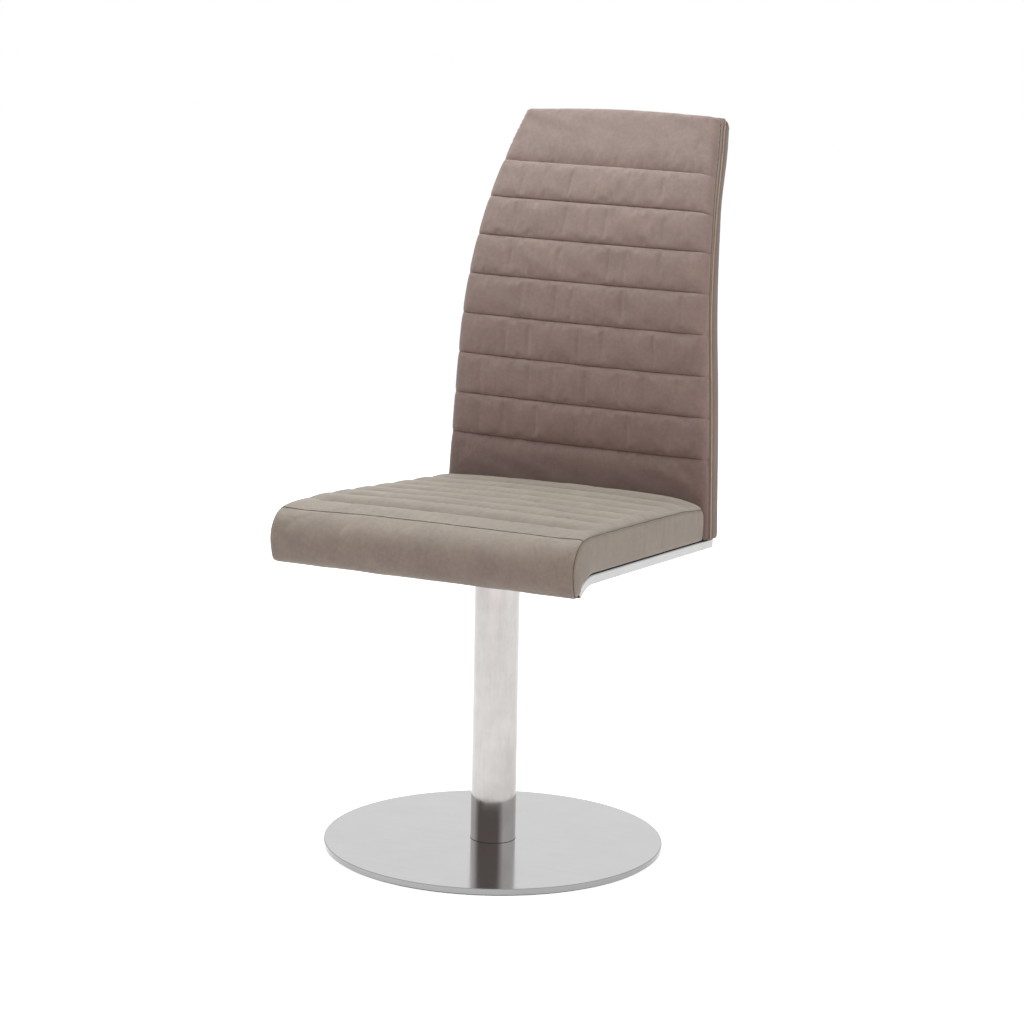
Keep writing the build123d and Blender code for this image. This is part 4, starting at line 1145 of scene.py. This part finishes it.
def rear_cover(distance, across):
    """Points on the backrest's plain rear cover at distances up it and across it."""
    side, up, thickness, drawn = rear_place(distance, across)
    crown = REAR_CROWN * (1 - (across / back_half_width(distance))**2)
    broad = ripple(across + distance, (0.11, 0.17), 41) * ripple(up, (0.13, 0.21), 42)
    depth = (thickness + crown + 0.0006 * broad) * (1 - drawn) + drawn * (thickness - REAR_RADIUS)
    return on_back(side, up + top_bulge(distance, depth, side), depth)


def rear_swelling(distance, across):
    """How the back's rear cover moves as cloth, at distances up it and places across it."""
    coarse = np.linspace(0.0, BACK_HEIGHT, 73)
    shares = np.linspace(-1.0, 1.0, 49)
    coarse_across = back_half_width(coarse)[:, None] * shares
    rows = np.broadcast_to(coarse[:, None], coarse_across.shape)
    face = rear_cover(rows, coarse_across)[:, ::-1]
    front = on_back(coarse_across, rows, 0.034)[:, ::-1]
    held = held_places(rows.shape, [0, 1, -2, -1], 2)
    moved = swollen_cover("rear_trial", face, front, held, growth=0.006, reach=0.0025, firmness=0.3)
    side = across / back_half_width(distance)[:, None]
    return read_grid(moved[:, ::-1], coarse, shares, distance, side)


class CHAIR_OT_back_rear(bpy.types.Operator):
    """Makes the backrest's plain padded rear."""

    bl_idname = "chair.back_rear"
    bl_label = "Back rear"

    def execute(self, context):
        leather_settings = context.scene.chair_leather
        lines = [0.0, 0.14, 0.29, 0.44, BACK_HEIGHT]
        distance = spread_between(lines, 0.0009, 0.009)
        distance, across = back_grid(distance, REAR_RADIUS, 76)
        side, up, thickness, _ = rear_place(distance, across)
        half = back_half_width(distance)
        face = rear_cover(distance, across) + rear_swelling(distance[:, 0], across)
        face = face[:, ::-1]
        start, end = thickness - REAR_RADIUS, piping_depth(distance) + REAR_TO_PIPING
        narrower, lower = 0.985, 0.002
        front = on_back(side * narrower, up + top_bulge(distance, end, side) - lower, end)[:, ::-1]
        walls = []
        for share, out in REAR_WALL:
            depth = start + (end - start) * share
            row = on_back(side * (1 + out / half), up + top_bulge(distance, depth, side), depth)
            walls.append(rim(row[:, ::-1]))
        # Painted shade: the rear cushion's leather is the backrest's leather darkened to 0.72.
        pad = closed_pad(
            "back_rear_cushion", face, front, walls,
            leather("rear leather", tint(leather_settings.back_colour, 0.72), leather_settings.grain),
        )
        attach(pad, "seat")
        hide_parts("back_rear_cover", "back_rear_pad")
        return {"FINISHED"}


def back_seam_line(settings, seam):
    """Points and outward directions along one cross seam of the back's front cushion."""
    reach = float(back_half_width(seam)) - SIDE_INSET
    across = np.linspace(-reach, reach, 160)
    distance = np.full_like(across, seam)
    points = front_cover(settings, distance, across)
    return points, (front_cover(settings, distance, across, 0.001) - points) / 0.001


def piping_line():
    """The line of the piping: up one side of the backrest, over its top and down the other."""
    corner = PIPING_CORNER
    side = np.linspace(0.001, BACK_HEIGHT - corner, 140)
    turn = np.linspace(0, math.pi / 2, 10)[1:]
    top_half = float(back_half_width(BACK_HEIGHT))
    top_across = np.linspace(top_half - corner, 0, 40)[1:]
    right_across = np.concatenate([
        back_half_width(side), top_half - corner + corner * np.cos(turn), top_across,
    ])
    right_up = np.concatenate([
        side, BACK_HEIGHT - corner + corner * np.sin(turn), np.full_like(top_across, BACK_HEIGHT),
    ])
    across = np.concatenate([right_across, -right_across[-2::-1]])
    distance = np.concatenate([right_up, right_up[-2::-1]])
    depth = piping_depth(distance) - 0.0003
    up = arched(distance, across) + top_bulge(distance, depth, across)
    return on_back(across + np.sign(across) * 0.0005, up, depth)


class CHAIR_OT_seams(bpy.types.Operator):
    """Makes the piping, the seam threads and the stitches."""

    bl_idname = "chair.seams"
    bl_label = "Seams and piping"

    def execute(self, context):
        settings = context.scene.chair_upholstery
        colours = context.scene.chair_leather
        dark = thread("seam thread", colours.thread_colour)
        matching = thread("matching thread", tint(colours.back_colour, 0.45))
        piping = soft_cord(
            "back_piping", piping_line(), settings.piping / 2,
            leather("piping leather", colours.piping_colour, colours.grain * 0.6),
        )
        form = SeatForm(settings)
        half = float(seat_half_width(FRONT_SEAM)) - 0.0012
        along_front = np.linspace(-half, half, 160)
        points, _ = seat_cover(form, np.full_like(along_front, form.seams[0]), along_front, 0.0004)
        pieces = [piping, soft_cord("seat_front_thread", points, FRONT_THREAD_RADIUS, dark)]
        along = np.linspace(0.004, form.along[-1] - 0.006, 300)
        up = np.linspace(0.002, BACK_HEIGHT - 0.004, 300)
        for side, name in ((1, "right"), (-1, "left")):
            half = seat_half_width(form.place(along)[0]) - 0.0009
            points, _ = seat_cover(form, along, side * half)
            pieces.append(soft_cord(f"seat_{name}_thread", points, THREAD_RADIUS, dark))
            depth = BACK_THREAD_DEPTH + 0.12 * (piping_depth(up) - PIPING_DEPTH)
            edge = back_half_width(up)
            points = on_back(side * (edge + 0.0002), arched(up, side * edge), depth)
            pieces.append(soft_cord(f"back_{name}_thread", points, THREAD_RADIUS, dark))
        seat_lines = []
        for seam in form.seams:
            reach = float(seat_half_width(form.place(seam)[0])) - SEAT_STITCH_MARGIN
            across = np.linspace(-reach, reach, 160)
            seat_lines.append(seat_cover(form, np.full_like(across, seam), across))
        back_lines = [back_seam_line(settings, seam) for seam in BACK_SEAMS]
        for name, lines in (("seat_stitches", seat_lines), ("back_stitches", back_lines)):
            pieces.append(stitches(name, lines, settings.stitch_pitch, STITCH_WIDTH, matching))
        for piece in pieces:
            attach(piece, "seat")
        return {"FINISHED"}


# --- Steel and the pieces that stay as they are --------------------------------------------------
class CHAIR_OT_steel(bpy.types.Operator):
    """Finishes the steel and every hidden piece, and puts a thin dark ring of painted shade round the
    column's foot.
    """

    bl_idname = "chair.steel"
    bl_label = "Steel"

    def execute(self, context):
        steel = context.scene.chair_steel
        base = plate_steel("brushed base steel", steel.base_colour, PLATE_FACE_RADIUS)
        column = brushed_steel(
            "brushed column steel", steel.column_colour, (240.0, 240.0, 22.0), (0.06, 0.13),
            depth=0.000006, cloud=0.075, lined=0.35, cloud_scale=34.0,
        )
        rail = brushed_steel(
            "satin rail steel", steel.rail_colour, (500.0, 9.0, 500.0), (0.14, 0.26),
            depth=0.000006, cloud=0.06,
        )
        turned = brushed_steel("turned steel", (0.42, 0.42, 0.42), (400.0, 400.0, 1400.0), (0.25, 0.4))
        ground = brushed_steel("ground steel", (0.62, 0.62, 0.63), (900.0, 900.0, 900.0), (0.12, 0.2))
        zinc = plain_finish("zinc plating", (0.50, 0.51, 0.54), 0.38, 1.0, 500.0, 0.00003)
        black = plain_finish("black powder coat", (0.022, 0.022, 0.023), 0.5, 0.0, 1400.0, 0.00008)
        brass = plain_finish("stamped brass", (0.56, 0.38, 0.14), 0.32, 1.0, 420.0, 0.00003)
        acetal = plain_finish("moulded acetal", (0.70, 0.68, 0.62), 0.45, 0.0, 700.0, 0.00002, 0.04)
        finishes = {
            base: ("base_plate",),
            column: ("column_tube",),
            rail: ("left_side_rail", "right_side_rail", "front_cross_bar", "rear_cross_bar", "rail_end_caps"),
            turned: ("column_foot_plug", "bearing_housing", "swivel_spindle"),
            ground: ("lower_race", "upper_race", "bearing_balls"),
            zinc: (
                "base_bolts", "mount_plate_screws", "mount_weld_nuts", "spindle_washer", "seat_shell_screws",
                "back_board_screws",
            ),
            black: ("seat_mount_plate", "spindle_retaining_ring", "back_frame"),
            brass: ("ball_cage",),
            acetal: ("lower_bush", "upper_bush"),
            plain_finish("rubber pad", (0.02, 0.02, 0.02), 0.8, 0.0, 900.0, 0.0002): ("floor_pad",),
            cloth("black dust cloth", (0.018, 0.018, 0.019)): ("dust_cover",),
            plywood("beech plywood", (0.50, 0.34, 0.19), (0.34, 0.21, 0.11)): ("seat_shell", "back_board"),
        }
        for material, nodes in finishes.items():
            for name in nodes:
                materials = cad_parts[name].data.materials
                materials.clear()
                materials.append(material)
        # Painted shade: a thin dark ring where the column stands on the base.
        lower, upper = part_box("column_tube")
        radius = (upper[0] - lower[0]) / 2
        turn = np.linspace(0, 2 * math.pi, 96, endpoint=False)
        level_here = np.full_like(turn, lower[2] + 0.0002)
        circle = np.stack([radius * np.cos(turn), radius * np.sin(turn), level_here], axis=1)
        shade_finish = plain_finish("foot seal", (0.06, 0.052, 0.05), 0.6)
        ring_of_shade = soft_cord("column_foot_seal", circle, SHADE_RING_RADIUS, shade_finish, closed=True)
        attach(ring_of_shade, "base")
        return {"FINISHED"}


# --- Stage --------------------------------------------------------------------------------------
def seen_directly(tree):
    """1 for what the camera sees straight, in a mirror or through glass, and 0 for light."""
    path = add(tree, "LightPath").outputs
    seen = arithmetic(tree, "MAXIMUM", path["Is Camera Ray"], path["Is Glossy Ray"])
    return arithmetic(tree, "MAXIMUM", seen, path["Is Transmission Ray"])


def area_lamp(name, place, target, size, power, colour):
    """A large soft lamp that points at a place."""
    data = bpy.data.lights.new(name, "AREA")
    data.shape = "RECTANGLE"
    data.size, data.size_y = size
    data.energy = power
    data.color = colour
    lamp = bpy.data.objects.new(name, data)
    bpy.context.scene.collection.objects.link(lamp)
    direction = Vector(target) - Vector(place)
    lamp.location = place
    lamp.rotation_euler = direction.to_track_quat("-Z", "Y").to_euler()
    lamp.visible_camera = False
    lamp.visible_glossy = False


class CHAIR_OT_stage(bpy.types.Operator):
    """Makes the camera, the pale floor and the studio light."""

    bl_idname = "chair.stage"
    bl_label = "Studio"

    def execute(self, context):
        settings = context.scene.chair_stage
        self.add_camera(context, settings)
        self.add_world(context, settings)
        self.add_floor()
        for name, power, place, target, size, colour in LAMPS:
            area_lamp(name, place, target, size, getattr(settings, power), colour)
        return {"FINISHED"}

    def add_camera(self, context, settings):
        """The camera, where the photograph was taken from."""
        data = bpy.data.cameras.new("camera")
        data.lens = settings.lens
        data.sensor_width = 36.0
        data.clip_end = 60.0
        camera = bpy.data.objects.new("camera", data)
        context.scene.collection.objects.link(camera)
        azimuth = settings.azimuth
        place = Vector((
            math.sin(azimuth) * settings.distance, -math.cos(azimuth) * settings.distance, settings.height,
        ))
        turn = Matrix.Rotation(azimuth - settings.yaw, 4, "Z")
        tip = Matrix.Rotation(math.pi / 2 - settings.pitch, 4, "X")
        roll = Matrix.Rotation(settings.roll, 4, "Z")
        camera.matrix_world = Matrix.Translation(place) @ turn @ tip @ roll
        context.scene.camera = camera

    def add_world(self, context, settings):
        """A white studio that is darker low down on the camera's side of the room."""
        world = bpy.data.worlds.new("studio")
        world.use_nodes = True
        context.scene.world = world
        tree = world.node_tree
        tree.nodes.clear()
        direction = add(tree, "TexCoord").outputs["Generated"]
        split = add(tree, "SeparateXYZ", {"Vector": direction}).outputs
        toward_front = level(tree, split["Y"], *DARK_TOWARD_FRONT, 1.0, 0.0)
        low_down = level(tree, split["Z"], *DARK_LOW_DOWN, 1.0, 0.0)
        dark = arithmetic(tree, "MULTIPLY", toward_front, low_down)
        metal = add(tree, "LightPath").outputs["Is Glossy Ray"]
        in_metal = arithmetic(tree, "MULTIPLY", dark, metal)
        room = ramp(tree, in_metal, 0.0, 1.0, (1.0, 1.0, 1.0), DARK_ROOM)
        seen = add(tree, "Background", {"Color": room}).outputs["Background"]
        lit = {"Color": (1.0, 0.985, 0.97, 1.0), "Strength": settings.sky}
        lit = add(tree, "Background", lit).outputs["Background"]
        studio = add(tree, "MixShader", {"Fac": seen_directly(tree), 1: lit, 2: seen})
        add(tree, "OutputWorld", {"Surface": studio.outputs["Shader"]})

    def add_floor(self):
        """A pale floor that shows white and keeps the chair's shadow."""
        material, tree, shader = new_material("pale floor")
        speckle = noise(tree, object_coordinates(tree), 40.0)
        pale = ramp(tree, speckle, 0.3, 0.7, (0.80, 0.80, 0.80), (0.82, 0.82, 0.82))
        connect(tree, shader, {"Base Color": pale, "Roughness": 0.9, "Specular IOR Level": 0.0})
        matt = shader.outputs["BSDF"]
        away = level(tree, length(tree, object_coordinates(tree)), 0.5, 2.4, 0.80, 1.0)
        glow = add(tree, "Emission", {"Strength": away}).outputs["Emission"]
        bright = add(tree, "AddShader", {0: matt, 1: glow}).outputs["Shader"]
        choose = add(tree, "MixShader", {"Fac": seen_directly(tree), 1: matt, 2: bright})
        output = next(node for node in tree.nodes if node.type == "OUTPUT_MATERIAL")
        connect(tree, output, {"Surface": choose.outputs["Shader"]})
        signs = ((-1, -1), (1, -1), (1, 1), (-1, 1))
        corners = [(x * FLOOR_SIZE, y * FLOOR_SIZE, FLOOR_LEVEL) for x, y in signs]
        floor = smooth_mesh("floor", corners, [(0, 1, 2, 3)], material)


class CHAIR_PT_panel(bpy.types.Panel):
    """Lists the chair's pieces and settings."""

    bl_idname = "CHAIR_PT_panel"
    bl_label = "Swivel dining chair"
    bl_space_type = "VIEW_3D"
    bl_region_type = "UI"
    bl_category = "Chair"

    def draw(self, context):
        layout = self.layout
        for name in SETTINGS:
            group = getattr(context.scene, name)
            box = layout.box()
            for key in group.__annotations__:
                box.prop(group, key)
        for operator in OPERATORS:
            layout.operator(operator.bl_idname)


SETTINGS = {
    "chair_stage": ChairStage,
    "chair_leather": ChairLeather,
    "chair_upholstery": ChairUpholstery,
    "chair_steel": ChairSteel,
}
OPERATORS = (
    CHAIR_OT_steel, CHAIR_OT_seat, CHAIR_OT_back_front, CHAIR_OT_back_rear, CHAIR_OT_seams, CHAIR_OT_stage,
)


def register():
    """Registers the classes and hangs the settings on the scene."""
    for group in SETTINGS.values():
        bpy.utils.register_class(group)
    for name, group in SETTINGS.items():
        setattr(bpy.types.Scene, name, PointerProperty(type=group))
    for operator in OPERATORS:
        bpy.utils.register_class(operator)
    bpy.utils.register_class(CHAIR_PT_panel)


def unregister():
    """Takes away what register adds."""
    bpy.utils.unregister_class(CHAIR_PT_panel)
    for operator in reversed(OPERATORS):
        bpy.utils.unregister_class(operator)
    for name, group in SETTINGS.items():
        delattr(bpy.types.Scene, name)
        bpy.utils.unregister_class(group)


def main():
    """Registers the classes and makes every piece."""
    register()
    bpy.context.scene.view_settings.view_transform = "Standard"
    bpy.ops.chair.steel()
    bpy.ops.chair.seat()
    bpy.ops.chair.back_front()
    bpy.ops.chair.back_rear()
    bpy.ops.chair.seams()
    bpy.ops.chair.stage()


if __name__ == "__main__":
    main()
